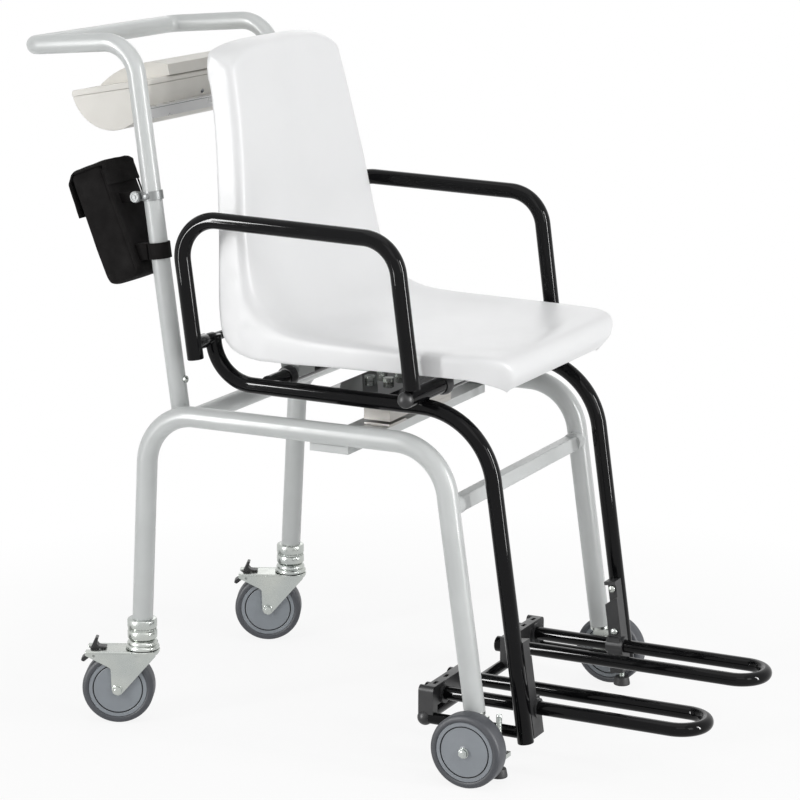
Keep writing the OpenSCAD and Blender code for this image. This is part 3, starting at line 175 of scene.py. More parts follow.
def rounded(path, radii, step=3):
    """The path with each inner corner rounded to its radius, with a point every step degrees."""
    path = [Vector(p) for p in path]
    out = [path[0]]
    for i in range(1, len(path) - 1):
        r = radii[i - 1] if hasattr(radii, "__len__") else radii
        a, b = (path[i - 1] - path[i]).normalized(), (path[i + 1] - path[i]).normalized()
        bend = math.pi - a.angle(b)
        if r <= 0 or bend < 1e-4:
            out.append(path[i])
            continue
        reach = r * math.tan(bend / 2)
        middle = path[i] + (a + b).normalized() * (r / math.cos(bend / 2))
        arm = path[i] + a * reach - middle
        axis = a.cross(b).normalized() * -1
        count = max(2, math.ceil(math.degrees(bend) / step))
        out += [middle + Quaternion(axis, bend * k / count) @ arm for k in range(count + 1)]
    return out + [path[-1]]


def rounded_loop(points, radii, step=12.0):
    """The closed outline with each corner rounded to its radius; flat outlines only."""
    n = len(points)
    out = []
    for i in range(n):
        near = [Vector((*points[(i + k) % n], 0)) for k in (-1, 0, 1)]
        out += [(p.x, p.y) for p in rounded(near, radii[i], step)[1:-1]]
    return out


def tan(degrees):
    return math.tan(math.radians(degrees))


def falling(degrees):
    """The way down a line that leans by so many degrees towards the front."""
    return Vector((0, -math.sin(math.radians(degrees)), -math.cos(math.radians(degrees))))


def turn_x(degrees, origin=(0, 0, 0)):
    return Matrix.Translation(Vector(origin)) @ Matrix.Rotation(math.radians(degrees), 4, "X")


def turn_z(degrees, origin=(0, 0, 0)):
    return Matrix.Translation(Vector(origin)) @ Matrix.Rotation(math.radians(degrees), 4, "Z")


def place(x, y, z):
    return Matrix.Translation(Vector((x, y, z)))


# What turns about X is set along Y or Z; an outline in XY that is set along Y stands upright
ALONG_Y = UPRIGHT = Matrix(((0, 0, 1, 0), (1, 0, 0, 0), (0, 1, 0, 0), (0, 0, 0, 1)))
ALONG_Z = Matrix(((0, 1, 0, 0), (0, 0, 1, 0), (1, 0, 0, 0), (0, 0, 0, 1)))
FLIP = Matrix(((-1, 0, 0, 0), (0, 1, 0, 0), (0, 0, 1, 0), (0, 0, 0, 1)))

BEVEL_FROM = 28


class Part:
    """Points and faces of one piece, in millimetres."""

    def __init__(self):
        self.points, self.faces, self.marks = [], [], []

    def add(self, points, faces, at=None, mark=0):
        first = len(self.points)
        self.points += [at @ Vector(p) if at else Vector(p) for p in points]
        self.faces += [[i + first for i in f] for f in faces]
        self.marks += [mark] * len(faces)
        return self

    def skin(self, rings, at=None, closed=False, caps=True, mark=0):
        """Quads between rings of equal length; closed joins the last ring to the first."""
        m, n = len(rings[0]), len(rings)
        faces = []
        for i in range(n if closed else n - 1):
            for j in range(m):
                a, b = i * m + j, i * m + (j + 1) % m
                c, d = ((i + 1) % n) * m + j, ((i + 1) % n) * m + (j + 1) % m
                faces.append([a, b, d, c])
        if caps and not closed:
            faces += [list(range(m))[::-1], list(range((n - 1) * m, n * m))]
        return self.add([p for ring in rings for p in ring], faces, at, mark)

    def tube(self, path, d, edge=1.0, segs=40, at=None):
        """A round bar along a path, its ends closed with a rounded edge."""
        path = [Vector(p) for p in path]
        n, r = len(path), d / 2
        ways = [(path[i + 1] - path[i]).normalized() for i in range(n - 1)]
        heads = [ways[0]] + [(ways[i] + ways[i + 1]).normalized() for i in range(n - 2)]
        heads.append(ways[-1])
        spots = [(path[i], heads[i], r) for i in range(n)]
        if edge > 0:
            ends = [(k, math.sin(math.acos(1 - k))) for k in (0.0, 0.08, 0.3, 0.6)]
            start = [(path[0] + heads[0] * edge * k, heads[0], r - edge * (1 - s))
                     for k, s in ends]
            stop = [(path[-1] - heads[-1] * edge * k, heads[-1], r - edge * (1 - s))
                    for k, s in reversed(ends)]
            spots[0] = (path[0] + heads[0] * edge, heads[0], r)
            spots[-1] = (path[-1] - heads[-1] * edge, heads[-1], r)
            spots = start + spots + stop
        side = heads[0].orthogonal().normalized()
        rings, last = [], heads[0]
        for centre, head, radius in spots:
            side = last.rotation_difference(head) @ side
            side = (side - head * side.dot(head)).normalized()
            up = head.cross(side)
            last = head
            rings.append([centre + (side * math.cos(a) + up * math.sin(a)) * radius
                          for a in (math.tau * k / segs for k in range(segs))])
        return self.skin(rings, at)

    def turned(self, profile, at=None, segs=64, closed=False, mark=0):
        """A profile of (place along X, radius) turned about X."""
        rings = [[(x, r * math.cos(a), r * math.sin(a))
                  for a in (math.tau * k / segs for k in range(segs))] for x, r in profile]
        return self.skin(rings, at, closed, mark=mark)

    def slab(self, outline, low, high, bevel=0.5, segs=2, at=None, mark=0):
        """An outline in XY between two heights, with its edges rounded."""
        bm = bmesh.new()
        face = bm.faces.new([bm.verts.new((x, y, low)) for x, y in outline])
        made = bmesh.ops.extrude_face_region(bm, geom=[face])["geom"]
        bmesh.ops.translate(bm, vec=(0, 0, high - low),
                            verts=[v for v in made if isinstance(v, bmesh.types.BMVert)])
        bmesh.ops.recalc_face_normals(bm, faces=bm.faces)
        return self.bevelled(bm, bevel, segs, at, mark)

    def bevelled(self, bm, width, segs, at=None, mark=0):
        """The mesh with each edge of more than BEVEL_FROM degrees rounded."""
        if width > 0:
            edges = [e for e in bm.edges if len(e.link_faces) == 2
                     and e.calc_face_angle(0) > math.radians(BEVEL_FROM)]
            bmesh.ops.bevel(bm, geom=edges, offset=width, segments=segs, profile=0.5,
                            affect="EDGES", clamp_overlap=True)
        bm.verts.index_update()
        points = [v.co.copy() for v in bm.verts]
        faces = [[v.index for v in f.verts] for f in bm.faces]
        bm.free()
        return self.add(points, faces, at, mark)

    def box(self, low, high, bevel=0.8, segs=2, at=None, mark=0):
        outline = [(low[0], low[1]), (high[0], low[1]), (high[0], high[1]), (low[0], high[1])]
        return self.slab(outline, low[2], high[2], bevel, segs, at, mark)

    def node(self, name, width=0.6, segs=2):
        """A copy of a CAD node's faces with its edges rounded."""
        bm = bmesh.new()
        bm.from_mesh(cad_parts[name].data)
        bmesh.ops.scale(bm, vec=(1 / MM,) * 3, verts=bm.verts)
        bmesh.ops.remove_doubles(bm, verts=bm.verts, dist=0.001)
        bmesh.ops.dissolve_limit(bm, angle_limit=math.radians(1.0), verts=bm.verts,
                                 edges=bm.edges)
        return self.bevelled(bm, width, segs)

    def hexagon(self, flats, low, high, at):
        """A bolt's head or a nut along X, chamfered at both ends."""
        r = flats / math.sqrt(3)
        outline = [(r * math.cos(math.radians(a)), r * math.sin(math.radians(a)))
                   for a in range(0, 360, 60)]
        turned_z = Matrix(((0, 0, 1, 0), (0, 1, 0, 0), (-1, 0, 0, 0), (0, 0, 0, 1)))
        return self.slab(outline, low, high, 0.7, 2, at @ turned_z)

    def join(self, other, at=None):
        first = len(self.points)
        self.points += [at @ p if at else p.copy() for p in other.points]
        flip = at is not None and at.determinant() < 0
        self.faces += [[i + first for i in (reversed(f) if flip else f)] for f in other.faces]
        self.marks += other.marks
        return self

    def moved(self, at):
        return Part().join(self, at)

    def both(self):
        """This part and its mirror image on the other side."""
        return Part().join(self).join(self, FLIP)

    def done(self, name, body, slot, nodes=(), smooth=35.0, sub=0, weighted=False, marks=()):
        mesh = bpy.data.meshes.new(name)
        mesh.from_pydata([tuple(p * MM) for p in self.points], [], self.faces)
        for i, mark in enumerate(self.marks):
            mesh.polygons[i].material_index = mark
        bm = bmesh.new()
        bm.from_mesh(mesh)
        bmesh.ops.recalc_face_normals(bm, faces=bm.faces)
        bm.to_mesh(mesh)
        bm.free()
        mesh.shade_smooth()
        mesh.set_sharp_from_angle(angle=math.radians(smooth))
        for mat in (MATS[slot], *marks):
            mesh.materials.append(mat)
        obj = bpy.data.objects.new(name, mesh)
        bpy.context.scene.collection.objects.link(obj)
        if sub:
            modifier = obj.modifiers.new("round", "SUBSURF")
            modifier.levels = modifier.render_levels = sub
        if weighted:
            modifier = obj.modifiers.new("even", "WEIGHTED_NORMAL")
            modifier.keep_sharp = True
        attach(obj, body)
        if nodes:
            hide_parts(*nodes)
        return obj


SIDES = (("right", None), ("left", FLIP))


def copied(name, slot, width, segs=2, body="frame", weighted=True):
    """A piece with the CAD node's own shape and rounded edges."""
    Part().node(name, width, segs).done(f"{name}.look", body, slot, [name], weighted=weighted)


def sided(part, name, body, slot, **more):
    """The same piece for the right and, mirrored, for the left."""
    for side, at in SIDES:
        nodes = [f"{n}_{side}" for n in more.get("nodes", [])]
        rest = {k: v for k, v in more.items() if k != "nodes"}
        own = part if at is None else part.moved(at)
        own.done(f"{name}_{side}.look", body.format(side), slot, nodes=nodes, **rest)


# Side frames and the beams between them

FRAME_X, FRAME_D, RAIL_Z, HOOP_R = 213, 28.6, 444.5, 75
REAR_LEG_Y, REAR_LEAN, REAR_FOOT_Z = 296, 3.1, 148
FRONT_LEG_Y, FRONT_LEAN, LEG_END_Z = -147, 8.2, 92
REAR_TUBE_Y, REAR_TUBE_D = 224, 25.4
FRONT_BAR_Z, FRONT_BAR = 364, 20
CHANNEL_END = 2.5


def leg_y(z):
    return FRONT_LEG_Y - (RAIL_Z - z) * tan(FRONT_LEAN)


hoop = rounded([(-FRAME_X, REAR_LEG_Y + (RAIL_Z - REAR_FOOT_Z) * tan(REAR_LEAN), REAR_FOOT_Z),
                (-FRAME_X, REAR_LEG_Y, RAIL_Z), (-FRAME_X, FRONT_LEG_Y, RAIL_Z),
                (-FRAME_X, leg_y(LEG_END_Z), LEG_END_Z)], HOOP_R)
sided(Part().tube(hoop, FRAME_D, 0.6), "side_frame", "frame", "frame_grey",
      nodes=["side_frame"])
Part().tube([(x, REAR_TUBE_Y, RAIL_Z) for x in (-FRAME_X, FRAME_X)], REAR_TUBE_D).done(
    "rear_cross_tube.look", "frame", "frame_grey", ["rear_cross_tube"])
bar_at = (0, leg_y(FRONT_BAR_Z), FRONT_BAR_Z)
bar = Part().box((-FRAME_X, -FRONT_BAR / 2, -FRONT_BAR / 2),
                 (FRAME_X, FRONT_BAR / 2, FRONT_BAR / 2), 2.0, 3, turn_x(-FRONT_LEAN, bar_at))
cup = Part().turned([(-FRAME_X, 13.0), (-187.6, 13.5), (-187.0, 13.3), (-186.7, 12.8)],
                    place(*bar_at))
bar.join(cup.both())
bar.done("front_cross_bar.look", "frame", "frame_grey", ["front_cross_bar"], weighted=True)
channel = Part().node("lower_channel", 0.8)
low, high = ([pick(p[i] for p in channel.points) for i in range(3)] for pick in (min, max))
# Both ends are closed between the flanges
for x in (low[0], high[0] - CHANNEL_END):
    channel.box((x, low[1] + 1.2, low[2] + 0.1),
                (x + CHANNEL_END, high[1] - 1.2, high[2] - 0.6), 1.1, 3)
channel.done("lower_channel.look", "frame", "frame_grey", ["lower_channel"], weighted=True)

# Push handle, in one bent tube

HANDLE_D, HANDLE_Y, HANDLE_Z, HANDLE_FOOT_Z = 25.4, 328, 944, 424
HANDLE_X = FRAME_X - FRAME_D / 2 - HANDLE_D / 2 - 0.2
HANDLE_LEAN, HANDLE_FALL, HANDLE_REACH = 7.6, 4.6, 164.5
SHOULDER_R, GRIP_R = 48, 20


def upright_y(z):
    return HANDLE_Y - (HANDLE_Z - z) * tan(HANDLE_LEAN)


arm_y = HANDLE_REACH * math.cos(math.radians(HANDLE_FALL))
arm_z = -HANDLE_REACH * math.sin(math.radians(HANDLE_FALL))
half = [(-HANDLE_X, upright_y(HANDLE_FOOT_Z), HANDLE_FOOT_Z), (-HANDLE_X, HANDLE_Y, HANDLE_Z),
        (-HANDLE_X, HANDLE_Y + arm_y, HANDLE_Z + arm_z)]
handle = rounded(half + [(-x, y, z) for x, y, z in reversed(half)],
                 [SHOULDER_R, GRIP_R, GRIP_R, SHOULDER_R])
Part().tube(handle, HANDLE_D, 1.2).done("push_handle.look", "frame", "frame_grey",
                                        ["push_handle"])

# Black seat frame

SEAT_D, SEAT_X, SEAT_TOP_Z, PIVOT, PIVOT_D = 22.2, 177, 554, (213.5, 549), 12
SEAT_REAR_Z, SEAT_FRONT_Y, SEAT_FRONT_Z, SEAT_END_Z = 489, -192.5, 485, 49
# The front bend is a little tighter than the solid's, as the photograph shows it
SEAT_REAR_R, SEAT_FRONT_R = 61, 106
CROSS, CROSS_END = ((-105, 506), (129, 493)), 232
LOW_CORNER, CAP_D, LOW_TUBE_D = (-SEAT_X, -108, 59.5), 22, 16


def seat_leg_y(z):
    return SEAT_FRONT_Y - (SEAT_FRONT_Z - z) * tan(FRONT_LEAN)


low_end = Vector((-SEAT_X, seat_leg_y(SEAT_END_Z), SEAT_END_Z)) + falling(FRONT_LEAN) * 3
seat_path = rounded([(-SEAT_X, PIVOT[0], SEAT_TOP_Z), (-SEAT_X, PIVOT[0], SEAT_REAR_Z),
                     (-SEAT_X, SEAT_FRONT_Y, SEAT_FRONT_Z), low_end],
                    [SEAT_REAR_R, SEAT_FRONT_R])
pivot = place(0, *PIVOT)
seat = Part().tube(seat_path, SEAT_D, 1.8)
seat.turned([(-200.1, 4), (-200.1, 7.0), (-199.7, 7.7), (-199.0, 8.0), (-180, 8.0),
             (-179, 8.0)], pivot)
seat.turned([(-217.5, 5.0), (-217.0, 5.8), (-216.2, 6.0), (-198, 6.0)], pivot)
sided(seat, "seat_frame", "frame", "seat_frame_black", nodes=["seat_frame"])
cross = Part().tube([(x, *CROSS[0]) for x in (-CROSS_END, CROSS_END)], SEAT_D, 0.8)
cross.tube([(x, *CROSS[1]) for x in (-SEAT_X, SEAT_X)], SEAT_D, 0)
cross.tube([(x, *PIVOT) for x in (-SEAT_X, SEAT_X)], PIVOT_D, 0)
cross.done("seat_cross_tubes.look", "frame", "seat_frame_black", ["seat_cross_tubes"])


def dome(r, depth, steps=9):
    """Profile of a ball's end that reaches out by depth along -X from a ring of radius r."""
    out = []
    for k in range(steps + 1):
        a = math.radians(90 * k / steps)
        out.append((-depth * math.cos(a), max(0.25, r * math.sin(a))))
    return out


caps = Part()
caps.turned([(x - CROSS_END, r) for x, r in dome(SEAT_D / 2, SEAT_D / 2)]
            + [(0.5 - CROSS_END, SEAT_D / 2)], place(0, *CROSS[0]))
for at in CROSS:
    caps.turned([(-132, 11.2), (-131.7, 12.4), (-129, 13.6), (-125, 14.5), (-121, 15),
                 (-119, 14.7), (-118, 13.6), (-118, 11.2)], place(0, *at))
ball = dome(CAP_D / 2, CAP_D / 2, 12)
caps.turned(ball + [(-x, r) for x, r in reversed(ball[:-1])], place(*LOW_CORNER))
caps.both().done("tube_caps.look", "frame", "black_plastic", ["tube_caps"])
copied("upper_channel", "seat_frame_black", 0.8)
copied("seat_feet", "seat_foot_grey", 1.5, 3)
copied("overload_stop", "cell_aluminium", 0.6)
copied("load_cell", "cell_aluminium", 0.8)

# Armrests

ARM_X, ARM_LEAN, ARM_R = 228, 7.6, 52
ARM_BACK_Y, ARM_TOP_Z, ARM_FOOT_Z = 237, 720, 530
ARM_FRONT_Y, ARM_FRONT_Z = -86.5, 711.5
# The front post ends just over the cross tube that it rests on
ARM_LOW = CROSS[0][1] + SEAT_D / 2 * (1 + math.sin(math.radians(ARM_LEAN))) + 0.3
tilt = tan(ARM_LEAN)
arm_foot = Vector((-ARM_X, ARM_BACK_Y - (ARM_TOP_Z - ARM_FOOT_Z) * tilt, ARM_FOOT_Z))
arm_path = rounded([arm_foot + falling(ARM_LEAN) * 2, (-ARM_X, ARM_BACK_Y, ARM_TOP_Z),
                    (-ARM_X, ARM_FRONT_Y, ARM_FRONT_Z),
                    (-ARM_X, ARM_FRONT_Y - (ARM_FRONT_Z - ARM_LOW) * tilt, ARM_LOW)], ARM_R)
arm = Part().tube(arm_path, SEAT_D, 1.6)
arm.turned([(-ARM_X, 10), (-201.2, 10), (-200.7, 9.7), (-200.4, 9.0), (-200.4, 6.2)], pivot)
sided(arm, "armrest", "armrest_{}_body", "seat_frame_black", nodes=["armrest"])

# Footrest frame, rods, blocks and guides

x, y, z = LOW_CORNER
low = Part().tube([(x, seat_leg_y(z), z), (x, y, z)], LOW_TUBE_D, 0).both()
low.tube([(x, y, z), (-x, y, z)], LOW_TUBE_D, 0)
low.done("footrest_frame.look", "frame", "seat_frame_black", ["footrest_frame"])

ROD_OUT, ROD_IN, ROD_Z, ROD_D = 149.6, 78.4, 88, 18.6
ROD_BACK, ROD_FRONT = -96, -482
rod_path = rounded([(-ROD_OUT, ROD_BACK, ROD_Z), (-ROD_OUT, ROD_FRONT, ROD_Z),
                    (-ROD_IN, ROD_FRONT, ROD_Z), (-ROD_IN, ROD_BACK, ROD_Z)],
                   (ROD_OUT - ROD_IN) / 2 - 0.1)
rods = Part().tube(rod_path, ROD_D, 1.2)
for x in (ROD_OUT, ROD_IN):
    rods.turned([(-107.7, 9.3), (-107.7, 10.4), (-107.1, 11), (-96.3, 11), (-95.7, 10.4),
                 (-95.7, 9.3)], place(-x, 0, ROD_Z) @ ALONG_Y)
sided(rods, "footrest", "footrest_{}_body", "seat_frame_black", nodes=["footrest"])
copied("slide_blocks", "black_plastic", 1.6, 3)
copied("footrest_guides", "black_plastic", 1.4, 3)

# Seat shell: a smooth loft through the CAD's sections

SHELL_LEN, SHELL_H, SHELL_HALF_W = 460, 433, 205
SHELL_FRONT_Y, SHELL_LOW_Z, SHELL_DISH, SHELL_T = -228, 510, 12, 4.0
# Each station from the front edge to the top: the middle's place and the side edges' place as
# shares of length and height, then the width's share, the dish's share and the corners' fall
STATIONS = [
    [0.022, 0.016, 0.039, 0.000, 0.730, 0.00, 0.000],
    [0.002, 0.052, 0.039, 0.014, 0.800, 0.00, 0.000],
    [0.002, 0.088, 0.050, 0.026, 0.860, 0.05, 0.000],
    [0.022, 0.113, 0.069, 0.036, 0.905, 0.15, 0.000],
    [0.066, 0.123, 0.100, 0.047, 0.950, 0.40, 0.000],
    [0.135, 0.124, 0.145, 0.052, 0.980, 0.70, 0.000],
    [0.265, 0.126, 0.265, 0.053, 0.995, 0.90, 0.000],
    [0.417, 0.129, 0.417, 0.052, 1.000, 1.00, 0.000],
    [0.569, 0.133, 0.569, 0.048, 1.000, 1.00, 0.000],
    [0.678, 0.146, 0.700, 0.045, 1.000, 1.00, 0.000],
    [0.748, 0.183, 0.808, 0.049, 0.995, 1.00, 0.000],
    [0.791, 0.239, 0.883, 0.088, 0.990, 1.00, 0.000],
    [0.815, 0.312, 0.911, 0.185, 0.976, 1.00, 0.000],
    [0.837, 0.450, 0.922, 0.411, 0.927, 1.00, 0.000],
    [0.854, 0.589, 0.939, 0.570, 0.871, 1.00, 0.000],
    [0.875, 0.727, 0.959, 0.718, 0.815, 0.85, 0.000],
    [0.895, 0.843, 0.978, 0.834, 0.780, 0.60, 0.005],
    [0.908, 0.919, 0.990, 0.894, 0.763, 0.30, 0.018],
    [0.915, 0.963, 0.995, 0.928, 0.759, 0.10, 0.039],
    [0.925, 0.987, 0.997, 0.949, 0.756, 0.00, 0.051],
    [0.948, 0.998, 0.999, 0.963, 0.754, 0.00, 0.046],
    [0.978, 1.000, 1.000, 0.973, 0.749, 0.00, 0.035],
    [0.998, 0.997, 1.000, 0.979, 0.737, 0.00, 0.025]]
# Across a station: share of the half width, share of the way to the edge, share of the dish
HALF_ACROSS = [(1, 1, 0), (1, 0.55, 0), (0.995, 0.25, 0), (0.975, 0.08, 0), (0.93, 0.01, 0),
               (0.85, 0, 0.1), (0.68, 0, 0.45), (0.45, 0, 0.78), (0.22, 0, 0.95), (0, 0, 1)]
ACROSS = HALF_ACROSS + [(-a, b, c) for a, b, c in reversed(HALF_ACROSS[:-1])]


def through(rows, u):
    """Catmull-Rom curve through rows of numbers, at place u."""
    n = len(rows) - 1
    i = min(int(u), n - 1)
    t = u - i
    a, b, c, d = (rows[k] for k in (max(i - 1, 0), i, i + 1, min(i + 2, n)))
    return [q + 0.5 * t * (r - p + t * (2 * p - 5 * q + 4 * r - s + t * (3 * (q - r) + s - p)))
            for p, q, r, s in zip(a, b, c, d)]


def shell_point(u, v, drop=0.0):
    """The shell's outer face at station u and place v across it, or drop below that face."""
    s, (x, share, dish) = through(STATIONS, u), through(ACROSS, v)
    middle, edge = (Vector((0, y * SHELL_LEN + SHELL_FRONT_Y, z * SHELL_H + SHELL_LOW_Z))
                    for y, z in (s[:2], s[2:4]))
    under = (edge - middle).normalized()
    p = middle + (edge - middle) * share + under * (dish * s[5] * SHELL_DISH + drop * (1 - share))
    p.x = x * SHELL_HALF_W * s[4]
    p.x -= math.copysign(drop * min(1, 2 * share), x) * (abs(x) > 0.3)
    p.z -= s[6] * SHELL_H * x ** 4
    return p


def seat_shell():
    fine_u, fine_v = 5, 4
    nu, nv = (len(STATIONS) - 1) * fine_u + 1, (len(ACROSS) - 1) * fine_v + 1
    rings = []
    for i in range(nu):
        u = i / fine_u
        outer = [shell_point(u, j / fine_v) for j in range(nv)]
        inner = [shell_point(u, j / fine_v, SHELL_T) for j in range(nv)]
        rings.append(outer + inner[::-1])
    m = len(rings[0])
    part = Part().skin(rings, caps=False)
    faces = []
    for e in (0, nu - 1):
        for j in range(nv - 1):
            a, b = e * m + j, e * m + j + 1
            faces.append([a, b, e * m + m - 2 - j, e * m + m - 1 - j])
    part.faces += faces
    part.marks += [0] * len(faces)
    return part


seat_shell().done("seat_shell.look", "frame", "seat_white", ["seat_shell"], smooth=80, sub=1)

# Wheels

WHEEL_R, REAR_WHEEL_W, FRONT_WHEEL_W = 50, 32, 28
SWIVEL_Y, TRAIL, PARKED = 313, 34, 25
FRONT_WHEEL_X, FRONT_WHEEL_Y = 243, -203
RIM_SEGS, TYRE_SEGS = 96, 128


def wheel(width):
    """Rim and tyre along X about the origin."""
    h = width / 2
    face = h - 1.0
    side = [(0.0, 4.1), (h + 0.2, 4.1), (h + 0.2, 6.5), (face + 0.3, 7.6), (face, 9.5),
            (face, 33.2), (face - 0.4, 33.7)]
    ring = [(face - 0.3, 35.3), (face + 0.1, 35.8), (face + 0.1, 40.1), (face - 0.8, 40.9),
            (0.0, 41.0)]
    trough = [(face - 2.2, 33.9), (face - 2.2, 35.2)]
    profile = side + trough + ring
    whole = profile + [(-x, r) for x, r in reversed(profile[1:-1])]
    rim = Part().turned(whole, closed=True, segs=RIM_SEGS)
    # The trough's faces get a near-black material: painted shade in the rim's recess
    dark = {len(side) - 1, len(side), len(side) + 1}
    for k in dark | {len(whole) - 1 - k for k in dark}:
        rim.marks[k * RIM_SEGS:(k + 1) * RIM_SEGS] = [1] * RIM_SEGS
    out = [(0.0, WHEEL_R), (h - 5.0, WHEEL_R), (h - 2.6, 49.3), (h - 1.0, 47.8),
           (h - 0.2, 45.6), (h, 43.4), (h - 0.3, 41.8), (h - 0.9, 41.02), (h - 3, 41.02)]
    both_sides = out + [(-x, r) for x, r in reversed(out[1:])]
    return rim, Part().turned(both_sides, closed=True, segs=TYRE_SEGS)


def caster(side):
    """Placing of a parked caster; side is -1 on the sitter's right."""
    return turn_z(PARKED, (side * FRAME_X, SWIVEL_Y, 0))


for name, side in (("right", -1), ("left", 1)):
    for end, width, at in (
            ("rear", REAR_WHEEL_W, caster(side) @ place(0, TRAIL, WHEEL_R)),
            ("front", FRONT_WHEEL_W, place(side * FRONT_WHEEL_X, FRONT_WHEEL_Y, WHEEL_R))):
        rim, tyre = wheel(width)
        rim.moved(at).done(f"{end}_rim_{name}.look", f"{end}_wheel_{name}", "rim_grey",
                           [f"{end}_rim_{name}"], marks=(PAINTED_TROUGH_SHADE,))
        tyre.moved(at).done(f"{end}_tyre_{name}.look", f"{end}_wheel_{name}", "tyre_grey",
                            [f"{end}_tyre_{name}"])

# Casters

INNER, SHEET, TOP = 18.0, 2.5, 105.0
BRAKE_AT = place(0, 66, 99)


def fork():
    """Two cheeks under a slotted plate, its rolled edges, the ball race and the stem."""
    part = Part()
    cheek = rounded_loop([(-20, TOP), (78, TOP), (78, TOP - 6), (43, TOP - 24), (42, 50),
                          (39, 43.5), (33, 41.4), (28, 44), (-20, TOP - 6)],
                         [1, 1, 2, 5, 2, 3, 3, 3, 2])
    for side in (-1, 1):
        low, high = sorted((side * INNER, side * (INNER + SHEET)))
        part.slab(cheek, low, high, 0.7, 2, UPRIGHT)
    plate = rounded_loop([(-INNER - SHEET, 0), (INNER + SHEET, 0), (INNER + SHEET, 62),
                          (INNER + SHEET, 78), (8.5, 78), (8.5, 58), (-8.5, 58), (-8.5, 78),
                          (-INNER - SHEET, 78)], [0, 0, 0, 3, 1, 2, 2, 1, 3])
    part.slab(plate, TOP - SHEET, TOP, 0.8, 2)
    for side in (-1, 1):
        part.tube([(side * (INNER + 1.0), 14, TOP - 1.6), (side * (INNER + 1.0), 78, TOP - 1.6)],
                  4.2, 1.6, 20)
    crown = [(TOP - 7.0, 22.0), (TOP - 4.0, 23.6), (TOP - 1.0, 24.0), (TOP, 23.2), (TOP, 1.0)]
    part.turned(crown, ALONG_Z, 72)
    part.turned([(TOP - 1, 4.9), (REAR_FOOT_Z - 1, 4.9)], ALONG_Z, 32)
    return part


def bolt(part, out, at):
    """Axle with a domed nut on the outer side and a flat head on the inner one."""
    part.turned([(-out - 5.0, 2.6), (-out - 4.4, 3.6), (-out, 4.0), (out + 1, 4.0)], at, 32)
    part.turned([(-out - 1.2, 4.0), (-out - 1.2, 6.9), (-out - 0.9, 7.3), (-out, 7.3)], at, 40)
    part.hexagon(11.5, -out - 4.2, -out - 1.0, at)
    part.hexagon(12.5, out, out + 5.0, at)
    return part


for name, side in (("right", -1), ("left", 1)):
    at = caster(side)
    fork().moved(at).done(f"fork_{name}.look", f"caster_{name}", "zinc", [f"fork_{name}"],
                          weighted=True)
    outer = INNER + SHEET
    axle = bolt(Part(), outer, place(0, TRAIL, WHEEL_R))
    axle.turned([(-outer, 1), (-outer, 2.0), (outer, 2.0), (outer, 1)], BRAKE_AT, 24)
    axle.moved(at).done(f"caster_axle_{name}.look", f"caster_{name}", "zinc",
                        [f"caster_axle_{name}"], weighted=True)
    pedal = Part()
    outline = rounded_loop([(-4, -4), (4, -3), (16, -13), (20, -11), (19, -7), (7, 2), (6, 8),
                            (3, 14), (-1, 23), (-5, 22), (-2.5, 14), (-6, 10), (-16, 9),
                            (-16, 7), (-4, 6)],
                           [2, 2, 2, 2, 2, 3, 3, 3, 1, 1, 3, 3, 1, 1, 3])
    pedal.slab(outline, -7, 7, 1.2, 3, UPRIGHT)
    pedal.moved(at @ BRAKE_AT).done(f"brake_pedal_{name}.look", f"brake_{name}",
                                    "black_plastic", [f"brake_pedal_{name}"], weighted=True)

stack = Part()
swivel_at = place(-FRAME_X, SWIVEL_Y, 0)
swivel = swivel_at @ ALONG_Z
for low_z, high_z in ((120.3, 133.0), (135.3, 149.4)):
    stack.turned([(low_z, 14.2), (low_z, 18.6), (low_z + 0.8, 19.8), (low_z + 2.2, 20.6),
                  (high_z - 2.0, 20.6), (high_z - 0.7, 19.9), (high_z, 18.6),
                  (high_z, 14.2)], swivel, 80)
stack.turned([(132.5, 17.5), (132.5, 19.0), (135.8, 19.0), (135.8, 17.5)], swivel, 80)
RIBS = 24
for k in range(RIBS):
    stack.box((-1.6, -0.5, 132.8), (1.6, 0.6, 135.5), 0.2, 1,
              swivel_at @ Matrix.Rotation(math.tau * k / RIBS, 4, "Z") @ place(0, 19.2, 0))
stack.both().done("caster_sockets.look", "frame", "zinc", ["caster_sockets"])
heads = Part()
heads.turned([(105.4, 12), (105.4, 21.0), (106.2, 22.8), (108.0, 23.4), (110.0, 22.9),
              (111.6, 21.4), (112.2, 20.4), (113.0, 21.2), (114.6, 21.4), (116.6, 20.6),
              (118.4, 19.0), (119.6, 16.8), (119.9, 12)], swivel, 80)
heads.both().done("caster_heads.look", "frame", "zinc", ["caster_heads"])

# Front brackets, axles and stabilising feet

STUD_Y, THREAD_FROM, THREAD_TO, PITCH = -233, 21.0, 90, 1.25
copied("front_brackets", "zinc", 0.9)
axles = Part()
front = place(0, FRONT_WHEEL_Y, WHEEL_R)
out = FRONT_WHEEL_X + FRONT_WHEEL_W // 2 + 1
axles.turned([(-out - 5.5, 2.6), (-out - 4.8, 3.7), (-out, 4.0), (-206, 4.0)], front, 32)
axles.turned([(-out - 1.2, 4.0), (-out - 1.2, 6.9), (-out - 0.9, 7.3), (-out, 7.3)], front, 40)
axles.hexagon(11.5, -out - 4.4, -out - 1.0, front)
axles.hexagon(12.5, -209, -203, front)
axles.turned([(-228, 4.2), (-228, 6.2), (-217, 6.2), (-217, 4.2)], front, 40)
axles.both().done("front_axles.look", "frame", "zinc", ["front_axles"], weighted=True)

